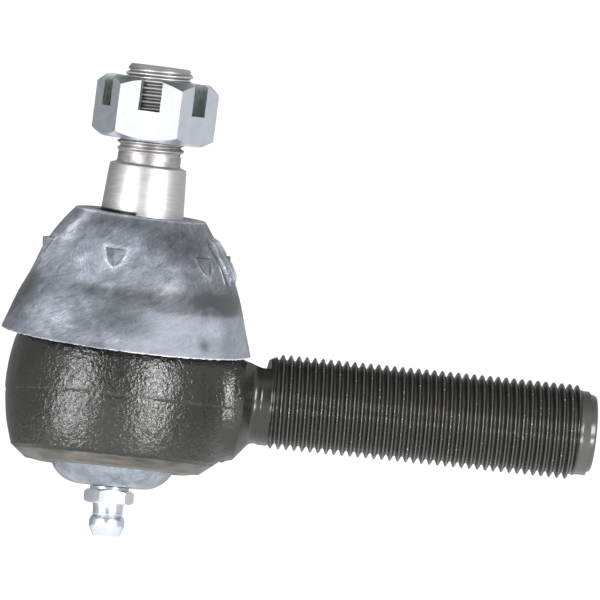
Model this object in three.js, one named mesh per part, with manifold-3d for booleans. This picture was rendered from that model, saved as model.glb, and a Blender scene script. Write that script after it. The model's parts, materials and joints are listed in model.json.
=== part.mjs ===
// Greasable steering tie rod end with a male shank, in millimetres, +Z up.
// The origin is the ball centre, where the shank axis (+X) crosses the housing axis (+Z).
//
// From the top down: castle nut, tapered stud, rubber dust boot with its support ring, forged housing
// with its threaded shank, half-ball bearing, pressure seat, preload spring, end cap, grease fitting.
// The half ball rocks in the housing socket and the stud turns inside the half ball. At rest the stud
// leans STUD_LEAN from the housing axis, and the boot, the half ball and the nut lean with it.

import * as THREE from "three";
import { mergeVertices } from "three/addons/utils/BufferGeometryUtils.js";
import Module from "manifold-3d";

const wasm = await Module();
wasm.setup();

// ---------------------------------------------------------------- driving dimensions

// Rest position of the stud: how far it leans, and the way it leans, from -Y round towards +X.
const STUD_LEAN = 8.3;
const STUD_LEAN_AZIMUTH = 10.1;

// Forged housing: a drafted drum on the Z axis.
const DRUM_FOOT = { r: 19.2, z: -12.8 };
const DRUM_WAIST = { r: 21.3, z: -2.4 };
const DRUM_SHOULDER = { r: 20.2, z: 7.7 };
const DRUM_CROWN = { r: 18.2, z: 10.9 };
const DRUM_TOP = { r: 14.6, z: 12.2 };
const LIP_OUTER = { r: 16.3, z: -15.1 };
const LIP_CREST = { r: 13.6, z: -15.5 };
const LIP_BORE_RADIUS = 11.9;
const CAP_RECESS = { r: 15.3, top: -12.9, bottom: -14.75 };
const SEAT_BORE = { r: 14, top: -1.5 };
const SOCKET_RADIUS = 13.7;
const MOUTH_RADIUS = 10.8;
const MOUTH_FLARE = { r: 13.2, z: 12.6 };

// Shank: a forged arm on the drum, a turned neck and a rolled thread, all on the X axis.
const ARM = { r: 11.7, narrow: 0.9, flareRadius: 13.6, flareEnd: 20.4 };
const NECK = { r: 8.42, start: 24.8, shoulderSlope: 1.3 };
const NECK_FLAT = { z: 6.6, end: 25.6, rampEnd: 29.6 };
const SHANK_THREAD = { pitch: 1.5, root: 7.85, crest: 8.9, start: 27, end: 86.2, fade: 1.6 };
const SHANK_NOSE = { start: 84.6, r: 8, endRadius: 7.2, end: 89, rounding: 0.6 };
const SHANK_CENTRE = { r: 2, depth: 2.4 };

// Ball and the pieces that hold it. The seat's rim stays below the half ball when it leans fully.
const HALF_BALL_RADIUS = 13.5;
const STUD_HEAD_RADIUS = 13.3;
const HALF_BALL_FOOT = -1;
const HALF_BALL_BORE = 6.9;
const HALF_BALL_CONE = { r: 8.6, top: 3.2 };
const RUNNING_GAP = 0.15;
const PRESSURE_SEAT = { r: 13.75, hole: 6.8, cup: 13.5, rim: -5.8, foot: -12.4 };

// Stud, along its own axis from the ball centre.
const HEAD_FLAT = -10.6;
const STUD_NECK = { r: 6.7, end: 15.5 };
const TAPER = { start: 22, end: 41.5, endDiameter: 14.35, ratio: 8, edge: 0.45 };
const UNDERCUT_RADIUS = 5.9;
const STUD_THREAD = { pitch: 1.27, root: 5.62, crest: 6.35, start: 43.6, end: 61.4, fade: 1.5 };
const STUD_END = { w: 60, chamfer: 0.9 };
const COTTER_HOLE = { r: 1.6, w: 54, fromSlot: 30 };

// Castle nut, on the stud axis.
const NUT = { flats: 19.9, foot: 46.1, top: 57.6, bore: 6.5, azimuth: -15.8 };
const NUT_TOP_CHAMFER = { r: 9.64, slope: 0.858 };
const NUT_FOOT_CHAMFER = { r: 9.44, slope: 0.61 };
const NUT_SLOT = { width: 4, depth: 5.9 };

// Dust boot, on the stud axis: outer outline from the top edge to the rim.
const BOOT_OUTLINE = [
  [12.15, 32.3],
  [14.53, 29.1],
  [16.24, 26.7],
  [17.8, 24.05],
  [19.65, 19.2],
  [21.3, 14.8],
  [22.6, 11],
  [23.4, 8.5],
];
const BOOT_WALL = 1.7;
const BOOT_RIM_WALL = 0.9;
const BOOT_TOP_HOLE = 7.95;
const BOOT_COLLAR = { r: 9.1, foot: 26.6 };
const BOOT_RING = { inner: 9.7, outer: 11, thickness: 1 };
const NIB = { count: 6, azimuth: -21.6, halfWidth: 3.8, apex: 18.3, back: 15, top: 26.3, foot: 21.9 };

// End cap, closed in the housing foot by the rolled lip.
const CAP_FLANGE = { r: 15.05, top: -13.05, bottom: -14.6 };
const CAP_DOME = { r: 11.55, start: -14.8, flat: 5.9, bottom: -18.9 };
const CAP_WALL = 1.5;
const CAP_HOLE_RADIUS = 3.35;

// Preload spring: a cone of wire between the cap and the pressure seat.
const PRELOAD = { wire: 1.5, footRadius: 5.2, topRadius: 8.8, foot: -16.55, top: -13.25, turns: 2.6 };

// Grease fitting, on the Z axis under the cap.
const FITTING_THREAD = { r: 3.17, top: -15.3 };
const FITTING_COLLAR = { r: 3.65, top: -18.95, bottom: -19.75 };
const FITTING_HEX = { flats: 8.15, top: -19.6, bottom: -22.15, chamfer: 4.05, slope: 0.7, azimuth: 10 };
const FITTING_NECK = { topRadius: 2.9, r: 2.7, bottom: -24.2 };
const FITTING_HEAD = { r: 3.3, top: -25.5, bottom: -26.4, endRadius: 2.4, end: -28.2 };
const FITTING_PASSAGE = { mouth: 0.95, bore: 1.35, stop: 0.8, seat: -27, ledge: -27.7, shoulder: -20 };
const CHECK_BALL = { r: 1.1, z: -27 };
const CHECK_SPRING = { wire: 0.28, r: 0.85, foot: -25.7, top: -20.2, turns: 6 };

// Small chamfers and roundings on turned edges.
const EDGE = 0.4;

// Facets round a full turn.
const FINE = 40;
const MEDIUM = 32;
const SMALL = 20;
const THREAD_STEPS = 14;

// ---------------------------------------------------------------- materials

const finish = (color, roughness, metalness) =>
  new THREE.MeshStandardMaterial({ color, roughness, metalness });
const BLACK_PAINT = finish(0x23241f, 0.45, 0.3);
const STEEL = finish(0xb9b3b0, 0.3, 1);
const ZINC = finish(0xd5dadf, 0.35, 1);
const DULL_ZINC = finish(0x9aa3ab, 0.5, 0.9);
const RUBBER = finish(0x777a83, 0.75, 0);
const BEARING_STEEL = finish(0x8b8d8f, 0.35, 1);
const ACETAL = finish(0xe6e2d6, 0.5, 0);
const SPRING_STEEL = finish(0x5f6164, 0.4, 1);

// ---------------------------------------------------------------- geometry helpers

const radians = THREE.MathUtils.degToRad;

// A closed three.js geometry as a solid that can be joined and cut.
function solidOf(geometry) {
  const bare = new THREE.BufferGeometry();
  const source = geometry.index ? geometry.toNonIndexed() : geometry;
  bare.setAttribute("position", source.getAttribute("position"));
  const merged = mergeVertices(bare, 1e-4);
  const mesh = new wasm.Mesh({
    numProp: 3,
    vertProperties: merged.attributes.position.array,
    triVerts: new Uint32Array(merged.index.array),
  });
  return new wasm.Manifold(mesh);
}

function geometryOf(solid) {
  const mesh = solid.getMesh();
  const geometry = new THREE.BufferGeometry();
  geometry.setAttribute("position", new THREE.BufferAttribute(mesh.vertProperties, 3));
  geometry.setIndex(new THREE.BufferAttribute(mesh.triVerts, 1));
  geometry.computeVertexNormals();
  return geometry;
}

// Points of a circular arc in an outline, both ends included; angles in degrees from the r axis.
function arc(r, z, radius, from, to, steps) {
  return Array.from({ length: steps + 1 }, (_, i) => {
    const angle = radians(from + ((to - from) * i) / steps);
    return [r + radius * Math.cos(angle), z + radius * Math.sin(angle)];
  });
}

// The arc that runs through three points of an outline.
function arcThrough([ax, ay], [bx, by], [cx, cy], steps) {
  const d = 2 * (ax * (by - cy) + bx * (cy - ay) + cx * (ay - by));
  const a2 = ax * ax + ay * ay;
  const b2 = bx * bx + by * by;
  const c2 = cx * cx + cy * cy;
  const x = (a2 * (by - cy) + b2 * (cy - ay) + c2 * (ay - by)) / d;
  const y = (a2 * (cx - bx) + b2 * (ax - cx) + c2 * (bx - ax)) / d;
  const bearing = (px, py) => THREE.MathUtils.radToDeg(Math.atan2(py - y, px - x));
  return arc(x, y, Math.hypot(ax - x, ay - y), bearing(ax, ay), bearing(cx, cy), steps);
}

// A body turned about +Z from an outline of [radius, height] points, closed on the axis or on itself.
function turned(outline, segments) {
  const onAxis = outline[0][0] === 0 && outline.at(-1)[0] === 0;
  const ring = onAxis ? outline : [...outline, outline[0]];
  const area = ring.reduce((sum, [r, z], i) => {
    const [nextR, nextZ] = ring[(i + 1) % ring.length];
    return sum + r * nextZ - nextR * z;
  }, 0);
  const points = ring.map(([r, z]) => new THREE.Vector2(r, z));
  if (area < 0) points.reverse();
  return new THREE.LatheGeometry(points, segments).rotateX(Math.PI / 2);
}

// A straight prism along +Z over an outline of [x, y] points.
function prism(outline, bottom, top) {
  const shape = new THREE.Shape(outline.map(([x, y]) => new THREE.Vector2(x, y)));
  const options = { depth: top - bottom, bevelEnabled: false };
  return new THREE.ExtrudeGeometry(shape, options).translate(0, 0, bottom);
}

// A box between two corners.
function box([x0, y0, z0], [x1, y1, z1]) {
  const size = [x1 - x0, y1 - y0, z1 - z0];
  return new THREE.BoxGeometry(...size).translate((x0 + x1) / 2, (y0 + y1) / 2, (z0 + z1) / 2);
}

// A hexagonal prism on +Z; at azimuth 0 one flat faces -Y.
function hexagon(flats, bottom, top, azimuth) {
  const corner = flats / Math.sqrt(3);
  const outline = Array.from({ length: 6 }, (_, i) => {
    const angle = radians(60 * i + azimuth);
    return [corner * Math.cos(angle), corner * Math.sin(angle)];
  });
  return prism(outline, bottom, top);
}

// A right-hand threaded rod on +Z: one sheet of flanks winds up it, with a fan over each end.
function threadedRod({ pitch, root, crest, start, end, fade }, segments) {
  const steps = Math.round((end - start) / pitch) * segments;
  const positions = [];
  for (let i = 0; i <= steps; i += 1) {
    const angle = (2 * Math.PI * i) / segments;
    for (const half of [0, 1]) {
      const z = start + pitch * (i / segments + half / 2);
      const grown = THREE.MathUtils.clamp(Math.min(z - start, end - z) / fade, 0, 1);
      const radius = root + half * (crest - root) * grown;
      positions.push(radius * Math.cos(angle), radius * Math.sin(angle), z);
    }
  }
  const rootAt = (i) => 2 * i;
  const crestAt = (i) => 2 * i + 1;
  const faces = [];
  const quad = (a, b, c, d) => faces.push(a, b, c, a, c, d);
  for (let i = 0; i < steps; i += 1) {
    quad(rootAt(i), rootAt(i + 1), crestAt(i + 1), crestAt(i));
    const above = i + segments;
    if (above < steps) quad(crestAt(i), crestAt(i + 1), rootAt(above + 1), rootAt(above));
  }
  const turn = Array.from({ length: segments + 1 }, (_, i) => i);
  const foot = [...turn.map(rootAt), crestAt(0)];
  const head = [...turn.map((i) => crestAt(steps - segments + i)), rootAt(steps)];
  const centre = positions.length / 3;
  positions.push(0, 0, start, 0, 0, start + pitch * (steps / segments + 0.5));
  foot.forEach((v, i) => faces.push(centre, foot[(i + 1) % foot.length], v));
  head.forEach((v, i) => faces.push(centre + 1, v, head[(i + 1) % head.length]));
  const geometry = new THREE.BufferGeometry();
  geometry.setAttribute("position", new THREE.Float32BufferAttribute(positions, 3));
  geometry.setIndex(faces);
  return geometry;
}

// A coil of round wire on +Z, whose radius changes evenly from foot to top.
class Coil extends THREE.Curve {
  constructor({ footRadius, topRadius, foot, top, turns }) {
    super();
    Object.assign(this, { footRadius, topRadius, foot, top, turns });
  }

  getPoint(t, target = new THREE.Vector3()) {
    const angle = 2 * Math.PI * this.turns * t;
    const radius = THREE.MathUtils.lerp(this.footRadius, this.topRadius, t);
    const z = THREE.MathUtils.lerp(this.foot, this.top, t);
    return target.set(radius * Math.cos(angle), radius * Math.sin(angle), z);
  }
}

function spring(coil, wire, sides, stepsPerTurn) {
  const section = new THREE.Shape(
    Array.from({ length: sides }, (_, i) => {
      const angle = (2 * Math.PI * i) / sides;
      return new THREE.Vector2(Math.cos(angle), Math.sin(angle)).multiplyScalar(wire / 2);
    }),
  );
  const steps = Math.round(coil.turns * stepsPerTurn);
  return new THREE.ExtrudeGeometry(section, { steps, extrudePath: new Coil(coil) });
}

function piece(name, geometry, material) {
  const mesh = new THREE.Mesh(geometry, material);
  mesh.name = name;
  return mesh;
}

// ---------------------------------------------------------------- housing

const pair = ({ r, z }) => [r, z];

// Height at which a ball of this radius reaches a distance from its axis.
const ballHeight = (radius, r) => Math.sqrt(radius * radius - r * r);

function drum() {
  const side = arcThrough(pair(DRUM_FOOT), pair(DRUM_WAIST), pair(DRUM_SHOULDER), 6);
  const crown = arcThrough(pair(DRUM_SHOULDER), pair(DRUM_CROWN), pair(DRUM_TOP), 4).slice(1);
  const lip = [[0, LIP_CREST.z], pair(LIP_CREST), pair(LIP_OUTER)];
  return solidOf(turned([...lip, ...side, ...crown, [0, DRUM_TOP.z]], FINE));
}

// Everything that the drum is hollowed by: lip bore, cap recess, seat bore, ball socket and mouth.
function socketCavity() {
  const below = LIP_CREST.z - 1;
  const above = MOUTH_FLARE.z + 1;
  const socketTop = THREE.MathUtils.radToDeg(Math.acos(MOUTH_RADIUS / SOCKET_RADIUS));
  const outline = [
    [0, below],
    [LIP_BORE_RADIUS, below],
    [LIP_BORE_RADIUS, CAP_RECESS.bottom],
    [CAP_RECESS.r, CAP_RECESS.bottom],
    [CAP_RECESS.r, CAP_RECESS.top],
    [SEAT_BORE.r, CAP_RECESS.top],
    [SEAT_BORE.r, SEAT_BORE.top],
    ...arc(0, 0, SOCKET_RADIUS, 0, socketTop, 5),
    pair(MOUTH_FLARE),
    [MOUTH_FLARE.r, above],
    [0, above],
  ];
  return solidOf(turned(outline, MEDIUM));
}

// A solid made on +Z, laid along +X.
const alongX = (geometry) => geometry.rotateY(Math.PI / 2);

// The forged arm between drum and shank, wider below than in front, and flared into the drum.
function forgedArm() {
  const outline = [
    [0, SEAT_BORE.r + 1],
    [ARM.flareRadius - 0.3, SEAT_BORE.r + 1],
    [ARM.r + 0.5, (SEAT_BORE.r + ARM.flareEnd) / 2 + 1],
    [ARM.r, ARM.flareEnd],
    [ARM.r, NECK.start],
    [0, NECK.start],
  ];
  return solidOf(alongX(turned(outline, FINE)).scale(1, ARM.narrow, 1));
}

// The turned surfaces that end the arm: a conical shoulder down to the neck.
function shoulderTrim() {
  const reach = ARM.flareRadius + 3;
  const outline = [
    [0, 0],
    [reach, 0],
    [reach, NECK.start - (reach - NECK.r) / NECK.shoulderSlope],
    [NECK.r + EDGE, NECK.start - EDGE],
    [NECK.r, NECK.start + EDGE],
    [0, NECK.start + EDGE],
  ];
  return solidOf(alongX(turned(outline, FINE)));
}

// Arm and neck, with the flat on top that lets the boot rim pass above them.
function shankRoot() {
  const neckEnd = SHANK_THREAD.start + SHANK_THREAD.pitch;
  const neck = [
    [0, SEAT_BORE.r + 2],
    [NECK.r, SEAT_BORE.r + 2],
    [NECK.r, neckEnd],
    [0, neckEnd],
  ];
  const high = ARM.flareRadius + 1;
  const flat = [
    [0, NECK_FLAT.z],
    [NECK_FLAT.end, NECK_FLAT.z],
    [NECK_FLAT.rampEnd, NECK.r + 0.3],
    [NECK_FLAT.rampEnd, high],
    [0, high],
  ];
  const relief = prism(flat, -high, high).rotateX(Math.PI / 2);
  const arm = forgedArm().intersect(shoulderTrim());
  return arm.add(solidOf(alongX(turned(neck, FINE)))).subtract(solidOf(relief));
}

function shankNose() {
  const { start, r, endRadius, end, rounding } = SHANK_NOSE;
  const outline = [
    [0, start],
    [SHANK_THREAD.root - 0.2, start],
    [r, start + 1],
    [endRadius + 0.1, end - rounding],
    [endRadius - rounding * 0.3, end - rounding * 0.2],
    [endRadius - rounding, end],
    [SHANK_CENTRE.r, end],
    [0, end - SHANK_CENTRE.depth],
  ];
  return solidOf(alongX(turned(outline, SMALL)));
}

function housing() {
  const thread = solidOf(alongX(threadedRod(SHANK_THREAD, THREAD_STEPS)));
  const body = drum().add(shankRoot()).subtract(socketCavity());
  return piece("housing", geometryOf(body.add(thread).add(shankNose())), BLACK_PAINT);
}

// ---------------------------------------------------------------- pieces under the ball

function pressureSeat() {
  const { r, hole, cup, rim, foot } = PRESSURE_SEAT;
  const from = THREE.MathUtils.radToDeg(Math.acos(hole / cup));
  const to = THREE.MathUtils.radToDeg(Math.asin(-rim / cup));
  const outline = [
    [hole, foot],
    ...arc(0, 0, cup, -from, -to, 6),
    [r, rim],
    [r, foot + EDGE],
    [r - EDGE, foot],
  ];
  return piece("pressure_seat", turned(outline, MEDIUM), ACETAL);
}

function preloadSpring() {
  return piece("preload_spring", spring(PRELOAD, PRELOAD.wire, 8, 20), SPRING_STEEL);
}

function endCap() {
  const { r, start, flat, bottom } = CAP_DOME;
  const height = start - bottom;
  const bend = ((r - flat) ** 2 + height ** 2) / (2 * height);
  const from = THREE.MathUtils.radToDeg(Math.asin((height - bend) / bend));
  const dome = (offset) => arc(flat, bottom + bend, bend - offset, from, -90, 4);
  const outline = [
    [CAP_FLANGE.r, CAP_FLANGE.top],
    [CAP_FLANGE.r, CAP_FLANGE.bottom],
    [r, CAP_FLANGE.bottom],
    ...dome(0),
    [CAP_HOLE_RADIUS, bottom],
    [CAP_HOLE_RADIUS, bottom + CAP_WALL],
    ...dome(CAP_WALL).reverse(),
    [r - CAP_WALL, CAP_FLANGE.top],
  ];
  return piece("end_cap", turned(outline, MEDIUM), DULL_ZINC);
}

function greaseFitting() {
  const outer = [
    [FITTING_THREAD.r - EDGE, FITTING_THREAD.top],
    [FITTING_THREAD.r, FITTING_THREAD.top - EDGE],
    [FITTING_THREAD.r, FITTING_COLLAR.top],
    [FITTING_COLLAR.r, FITTING_COLLAR.top],
    [FITTING_COLLAR.r, FITTING_COLLAR.bottom],
    [FITTING_NECK.topRadius, FITTING_COLLAR.bottom],
    [FITTING_NECK.topRadius, FITTING_HEX.bottom],
    [FITTING_NECK.r, FITTING_NECK.bottom],
    [FITTING_HEAD.r - 0.25, FITTING_HEAD.top + EDGE],
    [FITTING_HEAD.r, FITTING_HEAD.top],
    [FITTING_HEAD.r, FITTING_HEAD.bottom],
    [FITTING_HEAD.endRadius, FITTING_HEAD.end],
  ];
  const passage = [
    [FITTING_PASSAGE.mouth, FITTING_HEAD.end],
    [FITTING_PASSAGE.mouth, FITTING_PASSAGE.ledge],
    [FITTING_PASSAGE.bore, FITTING_PASSAGE.seat],
    [FITTING_PASSAGE.bore, FITTING_PASSAGE.shoulder],
    [FITTING_PASSAGE.stop, FITTING_PASSAGE.shoulder],
    [FITTING_PASSAGE.stop, FITTING_THREAD.top],
  ];
  const { flats, top, bottom, chamfer, slope, azimuth } = FITTING_HEX;
  const corner = flats / Math.sqrt(3) + 0.2;
  const drop = (corner - chamfer) * slope;
  const chamfered = [
    [2, top],
    [chamfer, top],
    [corner, top - drop],
    [corner, bottom + drop],
    [chamfer, bottom],
    [2, bottom],
  ];
  const hex = solidOf(hexagon(flats, bottom, top, azimuth)).intersect(
    solidOf(turned(chamfered, SMALL)),
  );
  const body = solidOf(turned([...outer, ...passage], SMALL)).add(hex);
  return piece("grease_fitting", geometryOf(body), ZINC);
}

function checkBall() {
  const ball = new THREE.SphereGeometry(CHECK_BALL.r, 16, 10).translate(0, 0, CHECK_BALL.z);
  return piece("grease_check_ball", ball, STEEL);
}

function checkSpring() {
  const { wire, r, foot, top, turns } = CHECK_SPRING;
  const coil = { footRadius: r, topRadius: r, foot, top, turns };
  return piece("grease_check_spring", spring(coil, wire, 5, 10), SPRING_STEEL);
}

// ---------------------------------------------------------------- pieces on the leaning stud axis

function halfBall() {
  const boreTop = ballHeight(HALF_BALL_RADIUS, HALF_BALL_BORE + 0.6);
  const from = THREE.MathUtils.radToDeg(Math.asin(HALF_BALL_FOOT / HALF_BALL_RADIUS));
  const to = THREE.MathUtils.radToDeg(Math.asin(boreTop / HALF_BALL_RADIUS));
  const outline = [
    [HALF_BALL_CONE.r, HALF_BALL_FOOT],
    ...arc(0, 0, HALF_BALL_RADIUS, from, to, 7),
    [HALF_BALL_BORE, boreTop],
    [HALF_BALL_BORE, HALF_BALL_CONE.top],
  ];
  return piece("half_ball_bearing", turned(outline, MEDIUM), BEARING_STEEL);
}

function studBlank() {
  const shoulder = HALF_BALL_FOOT - RUNNING_GAP;
  const headFrom = THREE.MathUtils.radToDeg(Math.asin(HEAD_FLAT / STUD_HEAD_RADIUS));
  const headTo = THREE.MathUtils.radToDeg(Math.asin(shoulder / STUD_HEAD_RADIUS));
  const taperRadius = (w) => (TAPER.endDiameter + (TAPER.end - w) / TAPER.ratio) / 2;
  const outline = [
    [0, HEAD_FLAT],
    ...arc(0, 0, STUD_HEAD_RADIUS, headFrom, headTo, 6),
    [HALF_BALL_CONE.r - RUNNING_GAP, shoulder],
    [STUD_NECK.r, HALF_BALL_CONE.top - RUNNING_GAP],
    [STUD_NECK.r, STUD_NECK.end],
    [taperRadius(TAPER.start) - 0.3, TAPER.start - 0.8],
    [taperRadius(TAPER.start), TAPER.start],
    [taperRadius(TAPER.end - TAPER.edge), TAPER.end - TAPER.edge],
    [taperRadius(TAPER.end) - TAPER.edge, TAPER.end],
    [UNDERCUT_RADIUS + EDGE, TAPER.end],
    [UNDERCUT_RADIUS, TAPER.end + EDGE],
    [UNDERCUT_RADIUS, STUD_THREAD.start + 0.9],
    [0, STUD_THREAD.start + 0.9],
  ];
  return solidOf(turned(outline, MEDIUM));
}

// The envelope that cuts the stud's end flat and chamfers its first turns.
function studEndTrim() {
  const { w, chamfer } = STUD_END;
  const wide = STUD_THREAD.crest + 1;
  const drop = (wide - STUD_THREAD.crest + chamfer) * 1.1;
  const outline = [
    [0, STUD_THREAD.start - 1],
    [wide, STUD_THREAD.start - 1],
    [wide, w - drop],
    [STUD_THREAD.crest - chamfer, w],
    [0, w],
  ];
  return solidOf(turned(outline, SMALL));
}

function ballStud() {
  const thread = solidOf(threadedRod(STUD_THREAD, THREAD_STEPS)).intersect(studEndTrim());
  const drill = new THREE.CylinderGeometry(COTTER_HOLE.r, COTTER_HOLE.r, 20, 12)
    .rotateZ(radians(NUT.azimuth + COTTER_HOLE.fromSlot))
    .translate(0, 0, COTTER_HOLE.w);
  const body = studBlank().add(thread).subtract(solidOf(drill));
  return piece("ball_stud", geometryOf(body), STEEL);
}

function castleNut() {
  const { flats, foot, top, bore, azimuth } = NUT;
  const reach = flats / Math.sqrt(3) + 0.3;
  const chamfered = [
    [bore + EDGE, foot],
    [NUT_FOOT_CHAMFER.r, foot],
    [reach, foot + (reach - NUT_FOOT_CHAMFER.r) * NUT_FOOT_CHAMFER.slope],
    [reach, top - (reach - NUT_TOP_CHAMFER.r) * NUT_TOP_CHAMFER.slope],
    [NUT_TOP_CHAMFER.r, top],
    [bore + EDGE, top],
    [bore, top - EDGE],
    [bore, foot + EDGE],
  ];
  let body = solidOf(hexagon(flats, foot, top, azimuth)).intersect(
    solidOf(turned(chamfered, FINE)),
  );
  const half = NUT_SLOT.width / 2;
  for (let i = 0; i < 3; i += 1) {
    const slot = box([-half, -flats, top - NUT_SLOT.depth], [half, flats, top + 1]);
    body = body.subtract(solidOf(slot.rotateZ(radians(azimuth + 60 * i))));
  }
  return piece("castle_nut", geometryOf(body), ZINC);
}

// A V-shaped nib: its edge runs parallel to the boot axis and sinks into the widening wall.
function nib(index) {
  const { azimuth, halfWidth, apex, back, top, foot, count } = NIB;
  const outline = [
    [-halfWidth, -back],
    [0, -apex],
    [halfWidth, -back],
  ];
  const wedge = prism(outline, foot, top).rotateZ(radians(azimuth + (360 / count) * index));
  return solidOf(wedge);
}

function dustBoot() {
  const inner = BOOT_OUTLINE.slice(1).map(([r, w], i, all) => {
    const thin = i === all.length - 1;
    return thin ? [r - BOOT_RIM_WALL, w] : [r - BOOT_WALL, w - BOOT_WALL * 0.25];
  });
  const under = BOOT_OUTLINE[0][1] - BOOT_WALL * 1.25;
  const outline = [
    [BOOT_TOP_HOLE, BOOT_OUTLINE[0][1]],
    ...BOOT_OUTLINE,
    ...inner.reverse(),
    [BOOT_RING.outer + 0.35, under],
    [BOOT_COLLAR.r, under],
    [BOOT_COLLAR.r, BOOT_COLLAR.foot],
    [BOOT_TOP_HOLE + 0.35, BOOT_COLLAR.foot],
  ];
  let body = solidOf(turned(outline, MEDIUM));
  for (let i = 0; i < NIB.count; i += 1) body = body.add(nib(i));
  return piece("dust_boot", geometryOf(body), RUBBER);
}

function bootSupportRing() {
  const top = BOOT_OUTLINE[0][1] - BOOT_WALL * 1.25 - 0.3;
  const foot = top - BOOT_RING.thickness;
  const outline = [
    [BOOT_RING.inner, foot],
    [BOOT_RING.outer, foot],
    [BOOT_RING.outer, top],
    [BOOT_RING.inner, top],
  ];
  return piece("boot_support_ring", turned(outline, SMALL), DULL_ZINC);
}

// ---------------------------------------------------------------- assembly

const leaning = new THREE.Group();
leaning.rotation.order = "ZXY";
leaning.rotation.z = radians(STUD_LEAN_AZIMUTH);
leaning.rotation.x = radians(STUD_LEAN);
leaning.add(halfBall(), ballStud(), castleNut(), dustBoot(), bootSupportRing());

const tieRodEnd = new THREE.Group();
tieRodEnd.add(
  housing(),
  pressureSeat(),
  preloadSpring(),
  endCap(),
  greaseFitting(),
  checkBall(),
  checkSpring(),
  leaning,
);

export default tieRodEnd;
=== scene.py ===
"""Looks of a greasable tie rod end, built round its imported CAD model.

Lengths are in millimetres until a mesh is made, and the meshes are in metres, in the CAD frame:
+X runs along the shank, +Z up the housing axis, and the origin is the ball centre.
"""

import json
import math

import bmesh
import bpy
import numpy as np
from mathutils import Matrix, Quaternion, Vector, noise


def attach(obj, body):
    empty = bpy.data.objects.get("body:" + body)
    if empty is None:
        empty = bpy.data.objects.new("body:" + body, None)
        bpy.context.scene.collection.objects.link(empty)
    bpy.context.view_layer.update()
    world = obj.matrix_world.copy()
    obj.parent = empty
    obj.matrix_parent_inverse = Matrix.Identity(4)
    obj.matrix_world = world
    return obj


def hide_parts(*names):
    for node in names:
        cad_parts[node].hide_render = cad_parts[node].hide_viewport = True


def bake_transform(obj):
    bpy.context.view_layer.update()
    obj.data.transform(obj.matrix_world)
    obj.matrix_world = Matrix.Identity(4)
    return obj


MM = 0.001

# ---------------------------------------------------------------- dimensions, in millimetres

DRUM_FOOT = (19.2, -12.8)
DRUM_WAIST = (21.3, -2.4)
DRUM_SHOULDER = (20.2, 7.7)
DRUM_CROWN_RADIUS = 5.6
DRUM_TOP = 12.2
DRUM_STOCK = [(20.5, -16.8), (20.8, 7.7), (18.2, 10.9), (14.6, DRUM_TOP)]
PARTING = {"height": -2.7, "wander": 0.25, "width": 0.2, "step": 0.04, "groove": 0.14}
# The forging's pebbles: height, size, and which noise.
PEBBLES = [(0.035, 2.6, 1), (0.022, 1.1, 2)]
PAINT_END = -12.9
LIP = [(11.9, -15.0), (12.3, -15.42), (13.6, -15.5), (15.0, -15.25), (16.3, -15.1)]
CAP_RECESS = {"r": 15.3, "top": -12.9, "bottom": -14.75}
SEAT_BORE_RADIUS = 14.0
SOCKET_RADIUS = 13.7
MOUTH_RADIUS = 10.8
MOUTH_FLARE = (13.2, 12.6)

ARM = {"r": 11.7, "narrow": 0.9, "begins": 8.0, "fillet": 3.5}
ARM |= {"flare": 1.9, "flare_start": 13.0, "flare_end": 20.4}
ARM_TOP = {"start": 20.5, "high": 7.3, "end": 24.2, "low": 6.2, "edge": 1.5}
ARM_STOCK = (11.4, 5)
NECK = {"r": 8.42, "start": 24.8, "slope": 1.3, "step": 26.3}
NECK_FLAT = [(23.4, 6.5), (24.6, 6.55), (26.1, 6.95), (30.4, 9.1)]
SHANK_THREAD = {"pitch": 1.5, "root": 7.85, "crest": 8.9, "start": 26.74, "end": 86.0}
SHANK_THREAD |= {"blank": NECK["r"], "lead": 1.35, "fade": 0.8}
# Half a thread's section, from root to crest: share of the pitch, share of the depth.
THREAD_FLANK = [(0.0, 0.0), (0.06, 0.015), (0.11, 0.08), (0.16, 0.2), (0.36, 0.82), (0.43, 0.96), (0.5, 1.0)]
NOSE = {"start": 84.6, "r": 8.0, "end_r": 7.2, "end": 89.0, "rounding": 0.6}
SHANK_CENTRE = {"r": 2.0, "depth": 2.4}

HALF_BALL = {"r": 13.5, "foot": -1.0, "bore": 6.9, "cone_r": 8.6, "cone_top": 3.2}
RUNNING_GAP = 0.15
SEAT = {"r": 13.75, "hole": 6.8, "cup": 13.5, "rim": -5.8, "foot": -12.4}

STUD_HEAD = {"r": 13.3, "flat": -10.6}
STUD_NECK = {"r": 6.7, "end": 15.5}
TAPER = {"start": 22.0, "end": 41.5, "end_diameter": 14.35, "ratio": 8, "edge": 0.45}
UNDERCUT_RADIUS = 5.9
STUD_THREAD = {"pitch": 1.27, "root": 5.62, "crest": 6.35, "start": 42.9, "end": 61.6}
STUD_THREAD |= {"blank": UNDERCUT_RADIUS, "lead": 0.0, "fade": 2.2}
STUD_END = {"w": 60.0, "chamfer": 0.85, "slope": 1.7}
COTTER_HOLE = {"r": 1.6, "w": 54.0, "from_slot": 30.0}

NUT = {"flats": 19.9, "foot": 46.1, "top": 57.6, "bore": 6.5, "azimuth": -15.8}
NUT_TOP_CHAMFER = {"r": 9.64, "slope": 0.858}
NUT_FOOT_CHAMFER = {"r": 9.44, "slope": 0.61}
NUT_SLOT = {"width": 4.0, "depth": 5.9, "cuts": 3}

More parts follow.
